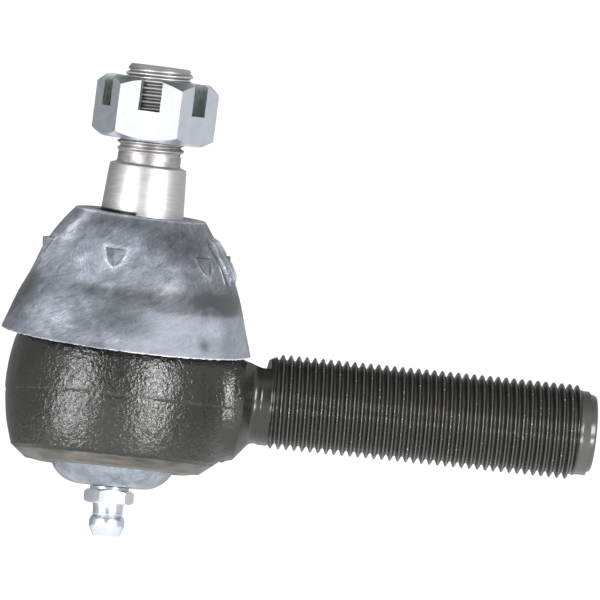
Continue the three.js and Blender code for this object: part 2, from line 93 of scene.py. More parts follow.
BOOT_OUTLINE = [(12.15, 32.3), (14.53, 29.1), (16.24, 26.7), (17.8, 24.05)]
BOOT_OUTLINE += [(19.65, 19.2), (21.3, 14.8), (22.6, 11.0), (23.4, 8.5)]
BOOT_TOP_RADIUS, BOOT_TOP = BOOT_OUTLINE[0]
BOOT_RIM = BOOT_OUTLINE[-1][1]
BOOT_WALL = 1.7
BOOT_CROWN_FOOT = BOOT_TOP - BOOT_WALL * 1.25
BOOT_RIM_WALL = 0.9
BOOT_TOP_HOLE = 7.95
BOOT_COLLAR = {"r": 9.1, "foot": 26.6}
BOOT_SKEW = 0.3
# Lumps of the boot's wall: height, and how closely they follow each other round it and up it.
BOOT_LUMPS = [(0.14, 3, 0.16), (0.025, 26, 1.3)]
BOOT_SKIN_RADIUS = 20
# Paleness of the painted highlight lines along the boot's top edge and along the rim's foot.
BOOT_EDGE_HIGHLIGHT = 0.6
BOOT_BEND = {"from": 7.0, "to": 27.0}
BOOT_FLASH = {"azimuth": 82, "wide": 17, "foot": 21.5, "top": 29.6, "height": 0.6}

# Bloom and scuffs on the boot: azimuth from the front, height, half-widths, and how pale or dark.
BOOT_PATCHES = [
    (36, 29.0, 26, 3.2, -0.65),
    (58, 18.6, 34, 2.0, -1.1),
    (8, 18.0, 26, 1.7, -0.55),
    (-72, 15.5, 12, 4.6, -0.9),
    (-52, 29.5, 9, 3.6, 0.8),
    (-62, 23.5, 14, 4.0, 0.45),
    (-40, 13.0, 20, 3.4, 0.5),
    (-28, 23.0, 22, 4.0, 0.3),
    (-22, 18.6, 14, 1.0, -0.6),
    (-8, 13.6, 17, 2.6, -0.55),
    (21, 20.4, 13, 1.7, 0.55),
    (-8, 26.5, 26, 3.6, 0.22),
    (50, 13.5, 12, 1.5, 0.15),
    (-14, 31.0, 22, 1.2, -0.5),
    (45, 26.4, 14, 1.6, -0.3),
    (0, 10.0, 14, 1.6, 0.25),
    (40, 10.7, 2.5, 1.1, -0.6),
    (60, 12.0, 8, 4.0, -0.3),
    (130, 22.0, 25, 6.0, -0.4),
    (185, 18.0, 35, 6.0, 0.3),
    (-130, 20.0, 25, 5.0, -0.3),
]
BOOT_BAND = {"top": 16.1, "from": -8, "to": 100, "amount": 0.42}
# Colours of the boot's skin, from worn to bloomed.
BOOT_TONES = [
    (0.08, (0.045, 0.049, 0.053)),
    (0.4, (0.1, 0.109, 0.125)),
    (0.62, (0.18, 0.195, 0.228)),
    (0.85, (0.32, 0.34, 0.395)),
    (1.0, (0.6, 0.62, 0.66)),
]
BOOT_RING = {"inner": 9.7, "outer": 11.0, "thickness": 1.0}
NIB = {"count": 6, "azimuth": -22.0, "fall": 13.6, "apex": 18.3, "top": 26.3, "tall": 3.1, "half": 2.2}

CAP_FLANGE = {"r": 15.05, "top": -13.05, "bottom": -14.6}
CAP_DOME = {"r": 11.55, "start": -14.8, "flat": 5.9, "bottom": -18.9}
CAP_WALL = 1.5
CAP_HOLE_RADIUS = 3.35
PRELOAD = {"wire": 1.5, "foot_r": 5.2, "top_r": 8.8, "foot": -16.55, "top": -13.25, "turns": 2.6}

FITTING_HEX = {"flats": 8.15, "azimuth": 10.0, "top": -19.6, "bottom": -22.15}
FITTING_HEX |= {"core": 2.0, "chamfer": 4.05, "slope": 0.7}
FITTING_TILT = 1.3
FITTING_STEM = [
    (2.75, -15.3), (3.17, -15.7), (3.17, -18.95), (3.55, -18.95), (3.65, -19.05), (3.65, -19.6),
    (3.5, -19.75), (2.9, -19.75), (2.9, -22.3), (2.85, -22.6), (2.76, -23.9), (2.83, -24.1), (2.78, -24.25),
]
FITTING_BULGE = {"r": 1.7, "z": -25.55, "radius": 1.6, "from": 55}
FITTING_MOUTH = [
    (3.3, -26.3), (3.24, -26.45), (2.5, -28.1), (2.38, -28.2), (1.05, -28.2), (0.95, -28.1), (0.95, -27.7),
    (1.35, -27.0), (1.35, -20.0), (0.8, -20.0), (0.8, -15.3),
]
CHECK_BALL = {"r": 1.1, "z": -27.0}
CHECK_SPRING = {"wire": 0.28, "foot_r": 0.85, "top_r": 0.85, "foot": -25.7, "top": -20.2, "turns": 6}

CAMERA = {"target": (31.8, 0.0, 19.4), "distance": 670.0, "azimuth": -1.4, "elevation": -4.1}
CAMERA |= {"roll": 5.8, "lens": 214.4}

FLOOR = {"r": 310.0, "z": -125.0, "sides": 96, "glow": 0.7, "white": 0.86}
BACKDROP_GLOW = 1.1
ROOM_GLOW = 0.62
# Patches of the room that are brighter or darker: bearing, cosines from edge to full, and glow.
ROOM_PATCHES = [
    ((-0.17, -0.955, -0.24), 0.955, 0.99, 0.42),
    ((-0.1, -0.966, 0.24), 0.94, 0.985, -0.5),
    ((-0.6, 0.75, 0.1), 0.3, 0.95, -0.3),
    ((0.0, 0.0, 1.0), 0.6, 0.95, -0.5),
    ((0.0, -0.5, -0.87), 0.3, 0.9, 0.3),
]
# Lamps: name, azimuth, elevation, width, height and glow.
SOFTBOX_DISTANCE = 1100.0
SOFTBOXES = [
    ("left_box", -41, 6, 420, 400, 10.5),
    ("right_box", 37, 8, 420, 400, 14.0),
    ("left_glow", -50, -20, 500, 200, 17.0),
    ("right_glow", 36, -20, 450, 200, 17.0),
]


# ---------------------------------------------------------------- the frame

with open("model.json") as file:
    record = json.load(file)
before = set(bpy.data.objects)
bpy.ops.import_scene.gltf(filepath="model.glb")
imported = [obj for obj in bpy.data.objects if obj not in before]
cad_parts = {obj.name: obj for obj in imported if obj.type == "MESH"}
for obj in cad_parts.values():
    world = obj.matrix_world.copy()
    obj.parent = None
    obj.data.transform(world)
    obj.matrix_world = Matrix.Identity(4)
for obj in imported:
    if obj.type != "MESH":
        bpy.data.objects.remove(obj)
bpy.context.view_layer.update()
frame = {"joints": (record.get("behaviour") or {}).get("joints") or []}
joints = {j["name"]: j for j in frame["joints"]}
stud_axis = Vector(joints["stud_spin"]["axis"]).normalized()
lean_axis = Vector(joints["stud_lean"]["axis"]).normalized()
lean_azimuth = math.degrees(math.atan2(stud_axis.x, -stud_axis.y))
LEANING = Matrix((lean_axis, stud_axis.cross(lean_axis), stud_axis)).transposed().to_4x4()
UPRIGHT = Matrix.Identity(4)
ALONG_X = Matrix.Rotation(math.pi / 2, 4, "Y")

# ---------------------------------------------------------------- outlines


def arc(r, z, radius, start, end, steps):
    """Points of a circular arc, both ends included; angles in degrees from the r axis."""
    angles = np.radians(np.linspace(start, end, steps + 1))
    return [(r + radius * math.cos(a), z + radius * math.sin(a)) for a in angles]


def circle_through(a, b, c):
    """Centre and radius of the circle through three points of an outline."""
    (ax, ay), (bx, by), (cx, cy) = a, b, c
    d = 2 * (ax * (by - cy) + bx * (cy - ay) + cx * (ay - by))
    a2, b2, c2 = ax * ax + ay * ay, bx * bx + by * by, cx * cx + cy * cy
    x = (a2 * (by - cy) + b2 * (cy - ay) + c2 * (ay - by)) / d
    y = (a2 * (cx - bx) + b2 * (ax - cx) + c2 * (bx - ax)) / d
    return x, y, math.hypot(ax - x, ay - y)


def ball_angle(height, radius):
    """Degrees above the r axis at which a ball reaches a height."""
    return math.degrees(math.asin(height / radius))


def smooth_outline(points, steps):
    """A curve through the points of an outline, with steps stretches between each two."""
    p = np.array([points[0], *points, points[-1]], float)
    out = []
    for i in range(1, len(p) - 2):
        for t in np.arange(steps) / steps:
            a, b, c, d = p[i - 1], p[i], p[i + 1], p[i + 2]
            even = 2 * b + (c - a) * t + (2 * a - 5 * b + 4 * c - d) * t**2
            out.append(tuple((even + (3 * b - a - 3 * c + d) * t**3) / 2))
    return [*out, tuple(p[-1])]


# ---------------------------------------------------------------- meshes


def placed(name, data):
    """A new object of the scene, made of data."""
    obj = bpy.data.objects.new(name, data)
    bpy.context.scene.collection.objects.link(obj)
    return obj


def new_object(name, vertices, faces, matrix=UPRIGHT):
    """A mesh object from points in millimetres."""
    mesh = bpy.data.meshes.new(name)
    mesh.from_pydata((np.asarray(vertices, float) * MM).tolist(), [], faces)
    mesh.transform(matrix)
    mesh.validate()
    return placed(name, mesh)


def face_outward(obj):
    """Turns every face of a closed mesh outwards."""
    bm = bmesh.new()
    bm.from_mesh(obj.data)
    bmesh.ops.recalc_face_normals(bm, faces=bm.faces)
    bm.to_mesh(obj.data)
    bm.free()
    return obj


def bands(rings, count, closed=False):
    """Quads between rings of count points each, and from the last ring to the first if closed."""
    faces = []
    for i in range(rings if closed else rings - 1):
        a, b = i * count, (i + 1) % rings * count
        faces += [(a + j, a + (j + 1) % count, b + (j + 1) % count, b + j) for j in range(count)]
    return faces


def turned(name, outline, segments, matrix=UPRIGHT):
    """A body turned about Z from [radius, height] points, closed on the axis or on itself."""
    on_axis = outline[0][0] == 0 and outline[-1][0] == 0
    rings = outline[1:-1] if on_axis else outline
    angles = 2 * math.pi * np.arange(segments) / segments
    r = np.array([p[0] for p in rings])[:, None]
    z = np.array([p[1] for p in rings])[:, None]
    points = np.stack([r * np.cos(angles), r * np.sin(angles), z + 0 * angles], -1).reshape(-1, 3)
    faces = bands(len(rings), segments, closed=not on_axis)
    if on_axis:
        first, last = len(points), len(points) + 1
        points = np.vstack([points, (0, 0, outline[0][1]), (0, 0, outline[-1][1])])
        end = (len(rings) - 1) * segments
        faces += [(first, (j + 1) % segments, j) for j in range(segments)]
        faces += [(last, end + j, end + (j + 1) % segments) for j in range(segments)]
    return face_outward(new_object(name, points, faces, matrix))


def prism(name, outline, bottom, top, matrix=UPRIGHT):
    """A straight prism along Z over an outline of [x, y] points."""
    n = len(outline)
    points = [(x, y, z) for z in (bottom, top) for x, y in outline]
    faces = [tuple(range(n)), tuple(range(n, 2 * n))]
    faces += [(i, (i + 1) % n, n + (i + 1) % n, n + i) for i in range(n)]
    return face_outward(new_object(name, points, faces, matrix))


def hexagon(flats, azimuth):
    """Corners of a hexagon; at azimuth 0 one flat faces -Y."""
    corner = flats / math.sqrt(3)
    angles = np.radians(60 * np.arange(6) + azimuth)
    return [(corner * math.cos(a), corner * math.sin(a)) for a in angles]


def threaded_rod(name, thread, segments, matrix=UPRIGHT):
    """A right-hand threaded rod on Z, with flat crests and rounded roots, closed at both ends."""
    pitch, start, end = thread["pitch"], thread["start"], thread["end"]
    depth = thread["crest"] - thread["root"]
    section = THREAD_FLANK + [(1 - share, height) for share, height in THREAD_FLANK[-2:0:-1]]
    count = len(section)
    steps = round((end - start) / pitch) * segments
    i = np.arange(steps + 1)[:, None]
    share = np.array([s[0] for s in section])[None, :]
    height = np.array([s[1] for s in section])[None, :]
    z = start + pitch * (i / segments + share)
    begun = np.clip((z - start - thread["lead"]) / thread["fade"], 0, 1)
    ended = np.clip((end - z) / thread["fade"], 0, 1)
    radius = thread["blank"] + (thread["root"] + height * depth * ended - thread["blank"]) * begun
    angle = 2 * math.pi * i / segments + 0 * share
    points = np.stack([radius * np.cos(angle), radius * np.sin(angle), z], -1).reshape(-1, 3)

    def at(step, k):
        """Point k of the section at a step; past the last point, the same turn's next section."""
        return step * count + k if k < count else (step + segments) * count

    faces = []
    for s in range(steps):
        last = count if s + 1 + segments <= steps else count - 1
        faces += [(at(s, k), at(s + 1, k), at(s + 1, k + 1), at(s, k + 1)) for k in range(last)]
    foot = [at(s, 0) for s in range(segments + 1)] + [at(0, k) for k in range(count - 1, 0, -1)]
    head = [at(s, count - 1) for s in range(steps - segments, steps + 1)]
    head += [at(steps, k) for k in range(count - 2, -1, -1)]
    centre = len(points)
    points = np.vstack([points, (0, 0, start), (0, 0, end + pitch)])
    faces += [(centre, foot[(k + 1) % len(foot)], v) for k, v in enumerate(foot)]
    faces += [(centre + 1, v, head[(k + 1) % len(head)]) for k, v in enumerate(head)]
    return face_outward(new_object(name, points, faces, matrix))


def coil(name, spring, sides, steps_per_turn):
    """A coil of round wire with its ends closed."""
    steps = round(spring["turns"] * steps_per_turn)
    t = np.linspace(0, 1, steps + 1)
    angle = 2 * math.pi * spring["turns"] * t
    radius = spring["foot_r"] + (spring["top_r"] - spring["foot_r"]) * t
    z = spring["foot"] + (spring["top"] - spring["foot"]) * t
    outward = np.stack([np.cos(angle), np.sin(angle), 0 * t], -1)
    up = np.array([0.0, 0.0, 1.0])
    centre = outward * radius[:, None] + up * z[:, None]
    around = 2 * math.pi * np.arange(sides) / sides
    ring = np.cos(around)[None, :, None] * outward[:, None] + np.sin(around)[None, :, None] * up
    points = (centre[:, None] + ring * spring["wire"] / 2).reshape(-1, 3)
    ends = [tuple(range(sides)), tuple(range(steps * sides, (steps + 1) * sides))]
    return face_outward(new_object(name, points, ends + bands(steps + 1, sides)))


def applied(obj):
    """The object with its modifiers made real."""
    bpy.context.view_layer.update()
    graph = bpy.context.evaluated_depsgraph_get()
    mesh = bpy.data.meshes.new_from_object(obj.evaluated_get(graph))
    obj.modifiers.clear()
    obj.data = mesh
    return obj


def machine(obj, operation, *tools):
    """Joins tools to a body, or cuts it by them; the tools are used up."""
    for tool in tools:
        cut = obj.modifiers.new(tool.name, "BOOLEAN")
        cut.operation = operation
        cut.solver = "MANIFOLD"
        cut.object = tool
    applied(obj)
    for tool in tools:
        bpy.data.objects.remove(tool)


def vertex_values(obj, key):
    """The co or the normal of every vertex."""
    values = np.empty(len(obj.data.vertices) * 3, np.float32)
    obj.data.vertices.foreach_get(key, values)
    return values.reshape(-1, 3).astype(float)


def set_points(obj, points):
    """Moves the vertices to points in millimetres."""
    obj.data.vertices.foreach_set("co", (points * MM).astype(np.float32).ravel())
    obj.data.update()


def grain(points, size, seed):
    """Smooth noise from about -1 to 1 whose lumps are about size millimetres across."""
    shift = Vector((seed * 17.3, seed * 5.1, seed * 9.7))
    return np.array([noise.noise(Vector(p) / size + shift) for p in points])


def noise_at(x, y, z):
    """Smooth noise at the points of three arrays of any matching shapes."""
    x, y, z = np.broadcast_arrays(x, y, z)
    values = [noise.noise(Vector(p)) for p in zip(x.ravel(), y.ravel(), z.ravel())]
    return np.array(values).reshape(x.shape)


def rounded(obj, width, segments=2, angle=30):
    """Bevels the sharp edges."""
    bevel = obj.modifiers.new("edges", "BEVEL")
    bevel.width = width * MM
    bevel.segments = segments
    bevel.limit_method = "ANGLE"
    bevel.angle_limit = math.radians(angle)
    return applied(obj)


def flat_faced(obj):
    """Keeps broad faces flat where small bevels meet them."""
    obj.data.shade_smooth()
    weighted = obj.modifiers.new("flat_faces", "WEIGHTED_NORMAL")
    weighted.weight = 100
    weighted.use_face_influence = False
    return applied(obj)


def finished(obj, node, body, slot, *materials, sharp=35, bend=None):
    """Shades a piece, gives it its materials and its body, and lets it stand for its CAD node.

    A piece given bend stays where it is built, on no body; the two points in bend are not used.
    """
    mesh = obj.data
    if sharp:
        mesh.shade_smooth()
        mesh.set_sharp_from_angle(angle=math.radians(sharp))
    for i, m in enumerate(materials):
        if i < len(mesh.materials):
            mesh.materials[i] = m
        else:
            mesh.materials.append(m)
    if bend:
        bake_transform(obj)
    else:
        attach(obj, body)
    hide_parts(node)


# ---------------------------------------------------------------- material nodes


def new_node(tree, kind, inputs=None, **settings):
    """A shader node with its settings made and its inputs set or linked."""
    made = tree.nodes.new("ShaderNode" + kind)
    for key, value in settings.items():
        setattr(made, key, value)
    for socket, value in (inputs or {}).items():
        if isinstance(value, bpy.types.NodeSocket):
            tree.links.new(value, made.inputs[socket])
        else:
            made.inputs[socket].default_value = value
    return made


class Shader:
    """A Principled material and the short calls that its nodes are made with."""

    def __init__(self, name, **values):
        self.material = bpy.data.materials.new(name)
        self.material.use_nodes = True
        self.tree = self.material.node_tree
        self.bsdf = self.tree.nodes["Principled BSDF"]
        for socket, value in values.items():
            self.bsdf.inputs[socket.replace("_", " ")].default_value = value
        self.place = self.node("TexCoord").outputs["Object"]

    def node(self, kind, inputs=None, **settings):
        return new_node(self.tree, kind, inputs, **settings)

    def link(self, output, socket):
        self.tree.links.new(output, self.bsdf.inputs[socket])

    def coordinate(self, axis):
        return self.node("SeparateXYZ", {0: self.place}).outputs[axis]

    def stretched(self, x, y, z):
        """Object coordinates scaled on each axis."""
        return self.node("Mapping", {"Vector": self.place, "Scale": (x, y, z)}).outputs["Vector"]

    def brushed(self, where, rise, length):
        """Coordinates drawn out to length along a line that rises by an angle in degrees."""
        inputs = {"Vector": where, "Rotation": (0.0, 0.0, math.radians(rise)), "Scale": (length, 1.0, 1.0)}
        return self.node("Mapping", inputs, vector_type="TEXTURE").outputs["Vector"]

    def noise(self, size, detail=3.0, rough=0.5, distortion=0.0, where=None):
        """Noise whose lumps are size millimetres across."""
        inputs = {"Vector": where or self.place, "Scale": 1 / (size * MM), "Detail": detail}
        inputs |= {"Roughness": rough, "Distortion": distortion}
        return self.node("TexNoise", inputs).outputs["Fac"]

    def between(self, value, low, high, to_low=0.0, to_high=1.0):
        """Value mapped from low..high to to_low..to_high, and no further."""
        limits = {"From Min": low, "From Max": high, "To Min": to_low, "To Max": to_high}
        return self.node("MapRange", {"Value": value, **limits}).outputs["Result"]

    def past(self, length, edge, fade):
        """0 up to an edge in millimetres and 1 from fade beyond it; a fade below 0 faces down."""
        return self.between(length, edge * MM, (edge + fade) * MM)

    def maths(self, operation, a, b=0.0):
        return self.node("Math", {0: a, 1: b}, operation=operation).outputs["Value"]

    def times(self, a, b):
        return self.maths("MULTIPLY", a, b)

    def plus(self, a, b):
        return self.maths("ADD", a, b)

    def minus(self, a, b):
        return self.maths("SUBTRACT", a, b)

    def hypot(self, a, b):
        return self.maths("SQRT", self.plus(self.times(a, a), self.times(b, b)))

    def mix(self, factor, a, b):
        """Colours a and b mixed by factor."""
        a, b = ((*c, 1.0) if isinstance(c, tuple) else c for c in (a, b))
        return self.node("Mix", {0: factor, 6: a, 7: b}, data_type="RGBA").outputs[2]

    def coated(self, tone, *coats):
        """A colour under coats of other colours, each with the mask that shows it."""
        for mask, colour in coats:
            tone = self.mix(mask, tone, colour)
        return tone

    def bump(self, height, depth, strength=1.0, under=None):
        """Relief of depth millimetres where height is 1."""
        inputs = {"Height": height, "Distance": depth * MM, "Strength": strength}
        if under is not None:
            inputs["Normal"] = under
        return self.node("Bump", inputs).outputs["Normal"]


def painted_forging():
    """Black paint over a pebbled forging, with its machined foot, shank and bores."""
    s = Shader("painted_forging", Specular_IOR_Level=0.75)
    x, y, z = (s.coordinate(axis) for axis in "XYZ")
    from_x, from_z = s.hypot(y, z), s.hypot(x, y)
    ragged = s.plus(z, s.times(s.minus(s.noise(0.9, detail=4.0), 0.5), 0.5 * MM))
    foot = s.past(ragged, PAINT_END, -0.3)
    cone = s.times(s.minus((NECK["start"] - 0.4) * MM, x), NECK["slope"])
    lathed = s.past(s.minus(s.minus(from_x, cone), NECK["r"] * MM), -0.3, 0.2)
    in_recess = s.past(z, CAP_RECESS["bottom"] - 0.05, 0.1)
    inside = s.times(s.past(from_z, SEAT_BORE_RADIUS + 0.15, -0.1), in_recess)

    coarse = s.bump(s.noise(1.4, detail=1.0), 0.12)
    pebbled = s.bump(s.noise(0.6, detail=2.0, distortion=0.6), 0.14, 1.0, coarse)
    turning = s.noise(0.12, detail=2.0, where=s.stretched(1.0, 0.08, 0.08))
    streaks = s.noise(2.6, detail=4.0, rough=0.55, where=s.stretched(0.5, 0.5, 3.0))
    smooth = s.bump(turning, 0.012, 0.6, s.bump(streaks, 0.015, 0.6))
    bare = s.maths("MAXIMUM", s.maths("MAXIMUM", foot, lathed), inside)
    skin = s.node("Mix", {0: bare, 4: pebbled, 5: smooth}, data_type="VECTOR")
    s.link(skin.outputs[1], "Normal")

    dust = s.between(s.noise(6.0, detail=4.0), 0.35, 0.7)
    paint = s.mix(dust, (0.0105, 0.0105, 0.009), (0.017, 0.017, 0.0145))
    # A thin strip just under the paint's end, painted near-black as a shadow line and kept off the metal.
    edge = s.past(ragged, PAINT_END - 0.6, 0.1)
    tone = s.mix(lathed, paint, shank_tone(s, x, from_x, streaks))
    tone = s.coated(tone, (foot, foot_tone(s, edge, streaks)), (inside, (0.42, 0.41, 0.4)))
    s.link(tone, "Base Color")
    plated = s.times(foot, s.minus(1.0, edge))
    s.link(s.maths("MAXIMUM", s.times(plated, 0.6), inside), "Metallic")
    gloss = s.between(s.noise(2.2), 0.3, 0.7, 0.18, 0.26)
    s.link(s.plus(gloss, s.times(foot, 0.16)), "Roughness")
    return s.material


def shank_tone(s, x, from_x, streaks):
    """Oily black of the neck and thread, with greyer roots and crests painted as highlight lines, and bright
    painted glints on the crests.
    """
    t = SHANK_THREAD
    oiled = s.mix(s.between(streaks, 0.42, 0.7), (0.009, 0.009, 0.007), (0.017, 0.016, 0.013))
    thread = s.past(x, t["start"] + 0.16, 0.3)
    # Painted highlight lines: the roots and crests are painted greyer where they would catch the lamps.
    root = s.times(s.past(from_x, t["root"] + 0.2, -0.13), thread)
    crest = s.times(s.past(from_x, t["crest"] - 0.14, 0.12), thread)
    # Painted glints: bright specks on the crests.
    crest_glints = s.times(s.between(s.noise(0.4, detail=2.0), 0.67, 0.72), crest)
    return s.coated(
        oiled,
        (root, (0.075, 0.075, 0.07)),
        (crest, (0.047, 0.047, 0.043)),
        (s.past(x, t["end"] - 0.1, 0.4), (0.06, 0.06, 0.057)),
        (crest_glints, (0.6, 0.6, 0.58)),
    )


def foot_tone(s, edge, streaks):
    """Stained bare steel of the drum's foot, with a near-black painted shadow line just under where the paint
    ends.
    """
    stain = s.mix(s.between(streaks, 0.35, 0.65), (0.1, 0.09, 0.076), (0.21, 0.195, 0.172))
    return s.coated(
        stain,
        (s.between(s.noise(7.0, detail=2.0, rough=0.4), 0.4, 0.62, 0.0, 0.45), (0.045, 0.042, 0.037)),
        (s.between(s.noise(0.5), 0.66, 0.72), (0.03, 0.028, 0.025)),
        # Painted shadow: a near-black line just under the paint's edge.
        (edge, (0.004, 0.004, 0.004)),
    )


def ground_steel():
    """The stud: ground steel with fine turning marks, faint brown stains, and a thread lined with painted
    shade and painted highlights.
    """
    s = Shader("ground_steel", Metallic=1.0)
    up = s.node("VectorMath", {0: s.place, 1: tuple(stud_axis)}, operation="DOT_PRODUCT").outputs["Value"]
    reach = s.node("VectorMath", {0: s.place}, operation="LENGTH").outputs["Value"]
    from_axis = s.maths("SQRT", s.minus(s.times(reach, reach), s.times(up, up)))
    marks = s.noise(0.16, detail=4.0, rough=0.7, where=s.stretched(0.04, 0.04, 1.0))
    blotches = s.noise(1.5, detail=5.0, rough=0.65, where=s.stretched(0.5, 0.5, 1.0))
    under_nut = s.between(up, (NUT["foot"] + 0.6) * MM, (NUT["foot"] - 0.2) * MM, 0.35, 1.0)
    undercut = s.times(s.past(up, TAPER["end"] - 0.2, 0.5), under_nut)
    threaded = s.times(s.past(up, NUT["foot"], 0.5), s.past(up, STUD_END["w"] - 0.75, -0.3))
    root, crest = STUD_THREAD["root"], STUD_THREAD["crest"]
    # Painted shade: the stud's left half is darkened just above the boot, where it goes into it.
    shade_above_boot = s.times(s.past(up, BOOT_TOP + 0.75, -0.3), s.past(s.coordinate("X"), 0.3, -0.6))
    tone = s.mix(s.between(marks, 0.35, 0.65), (0.51, 0.505, 0.52), (0.63, 0.625, 0.64))
    tone = s.coated(
        tone,
        (s.times(s.between(blotches, 0.38, 0.62, 0.3, 1.0), undercut), (0.31, 0.28, 0.27)),
        # Thread: flanks painted darker as shade, and bright painted highlight lines at the roots and the
        # crests.
        (s.times(s.past(from_axis, root + 0.48, -0.35), threaded), (0.22, 0.2, 0.2)),
        (s.times(s.past(from_axis, root + 0.07, -0.04), threaded), (0.75, 0.73, 0.73)),
        (s.times(s.past(from_axis, crest - 0.2, 0.15), threaded), (0.92, 0.91, 0.92)),
        (shade_above_boot, (0.03, 0.03, 0.03)),
        (s.between(s.noise(0.5), 0.7, 0.76), (0.2, 0.18, 0.17)),
    )
    s.link(tone, "Base Color")
    s.link(s.between(marks, 0.25, 0.75, 0.38, 0.5), "Roughness")
    s.link(s.bump(marks, 0.014, 0.8), "Normal")
    return s.material


def bright_zinc():
    """Blue-white zinc plate on the nut and the grease fitting."""
    s = Shader("bright_zinc", Metallic=1.0)
    cloud = s.noise(2.4, detail=5.0)
    scuff = s.noise(0.35, detail=4.0)
    tone = s.mix(s.between(cloud, 0.35, 0.7), (0.74, 0.8, 0.885), (0.8, 0.85, 0.915))
    specks = s.between(scuff, 0.66, 0.72, 0.0, 0.6)
    s.link(s.mix(specks, tone, (0.3, 0.33, 0.36)), "Base Color")
    s.link(s.between(cloud, 0.3, 0.7, 0.26, 0.34), "Roughness")
    s.link(s.bump(scuff, 0.004, 0.6), "Normal")
    return s.material


def slot_zinc():
    """The milled slots of the nut: thin greenish plate over cutter marks."""
    s = Shader("slot_zinc", Metallic=0.9)
    marks = s.noise(0.35, detail=4.0, rough=0.7, where=s.stretched(1.0, 1.0, 0.25))
    s.link(s.mix(s.between(marks, 0.3, 0.7), (0.16, 0.2, 0.19), (0.42, 0.47, 0.46)), "Base Color")
    s.link(s.between(marks, 0.3, 0.7, 0.42, 0.55), "Roughness")
    s.link(s.bump(marks, 0.03, 0.8), "Normal")
    return s.material


def dull_zinc():
    """Cloudy zinc on the pressed cap, with a few dark specks."""
    s = Shader("dull_zinc", Metallic=0.9)
    cloud = s.noise(3.0, detail=7.0, rough=0.68)
    specks = s.between(s.noise(0.5, detail=4.0), 0.64, 0.72)
    tone = s.mix(s.between(cloud, 0.34, 0.66), (0.22, 0.25, 0.28), (0.43, 0.47, 0.515))
    s.link(s.mix(specks, tone, (0.12, 0.13, 0.14)), "Base Color")
    s.link(s.between(cloud, 0.3, 0.7, 0.46, 0.3), "Roughness")
    s.link(s.bump(s.noise(0.35, detail=5.0, rough=0.6), 0.03, 0.9), "Normal")
    return s.material


def boot_rubber():
    """Grey-blue moulded rubber, brushed and scuffed, paler where its bloom was never rubbed off."""
    s = Shader("boot_rubber", Specular_IOR_Level=0.5)
    skin = s.node("Attribute", attribute_name="unrolled").outputs["Vector"]
    # The skin's worn and bloomed marks come with painted highlight lines along the boot's edges.
    wear_and_highlights = s.node("Attribute", attribute_name="wear_and_highlights").outputs["Fac"]
    rubbed = s.node("Attribute", attribute_name="rubbed").outputs["Fac"]
    rising, falling = (
        s.noise(0.26, rough=0.6, distortion=0.3, where=s.brushed(skin, rise, 5.0)) for rise in (32, -58)
    )
    smears = s.noise(1.7, detail=6.0, rough=0.66, distortion=0.8, where=s.brushed(skin, 24, 2.6))
    cloud = s.noise(6.0, detail=6.0, rough=0.62, distortion=0.8, where=skin)
    sides = s.between(s.noise(9.0, detail=2.0, where=skin), 0.45, 0.6)
    strokes = s.node("Mix", {0: sides, 2: rising, 3: falling}).outputs[0]
    powder = s.noise(0.3, where=skin)
    scratched = s.noise(0.3, detail=2.0, distortion=0.2, where=s.brushed(skin, 46, 11.0))
    scratches = s.times(s.between(scratched, 0.58, 0.7), s.between(cloud, 0.5, 0.6, 0.0, 0.2))
    level = s.plus(wear_and_highlights, scratches)
    for marks, amount in ((smears, 1.6), (cloud, 1.2), (strokes, 1.2), (powder, 0.7)):
        level = s.plus(level, s.times(s.times(s.minus(marks, 0.5), amount), rubbed))
    ramp = s.node("ValToRGB", {"Fac": s.between(level, -0.95, 1.05)})
    for _ in range(len(BOOT_TONES) - 2):
        ramp.color_ramp.elements.new(0.5)
    for element, (position, colour) in zip(ramp.color_ramp.elements, BOOT_TONES):
        element.position = position
        element.color = (*colour, 1.0)
    s.link(ramp.outputs["Color"], "Base Color")
    s.link(s.between(level, -0.8, 0.8, 0.38, 0.6), "Roughness")
    s.link(s.bump(strokes, 0.035, 0.6, s.bump(smears, 0.03, 0.5, s.bump(powder, 0.012))), "Normal")
    return s.material


def filmed(name, film_size, detail, start, tones, gloss, **values):
    """A plain material with a faint cloudy film on it."""
    s = Shader(name, **values)
    film = s.noise(film_size, detail=detail)
    s.link(s.mix(s.between(film, start, 0.7), *tones), "Base Color")
    s.link(s.between(film, 0.3, 0.7, *gloss), "Roughness")
    return s.material


def bearing_steel():
    """Hardened, ground bearing steel."""
    tones = (0.42, 0.42, 0.43), (0.55, 0.54, 0.52)
    return filmed("bearing_steel", 3.0, 4.0, 0.35, tones, (0.18, 0.3), Metallic=1.0)


def spring_steel():
    """Oil-tempered wire, dark blue-brown."""
    tones = (0.16, 0.17, 0.2), (0.26, 0.24, 0.22)
    return filmed("spring_steel", 1.5, 4.0, 0.35, tones, (0.3, 0.42), Metallic=1.0)


def natural_acetal():
    """Cream moulded plastic with a faint cloud of grease."""
    tones = (0.76, 0.73, 0.65), (0.6, 0.53, 0.4)
    return filmed("natural_acetal", 4.0, 3.0, 0.4, tones, (0.4, 0.28), Specular_IOR_Level=0.5)


# ---------------------------------------------------------------- housing


def smooth_least(a, b, blend):
    """The smaller of two distances, with a fillet of about blend millimetres."""
    h = np.clip(0.5 + 0.5 * (b - a) / blend, 0, 1)
    return b + (a - b) * h - blend * h * (1 - h)


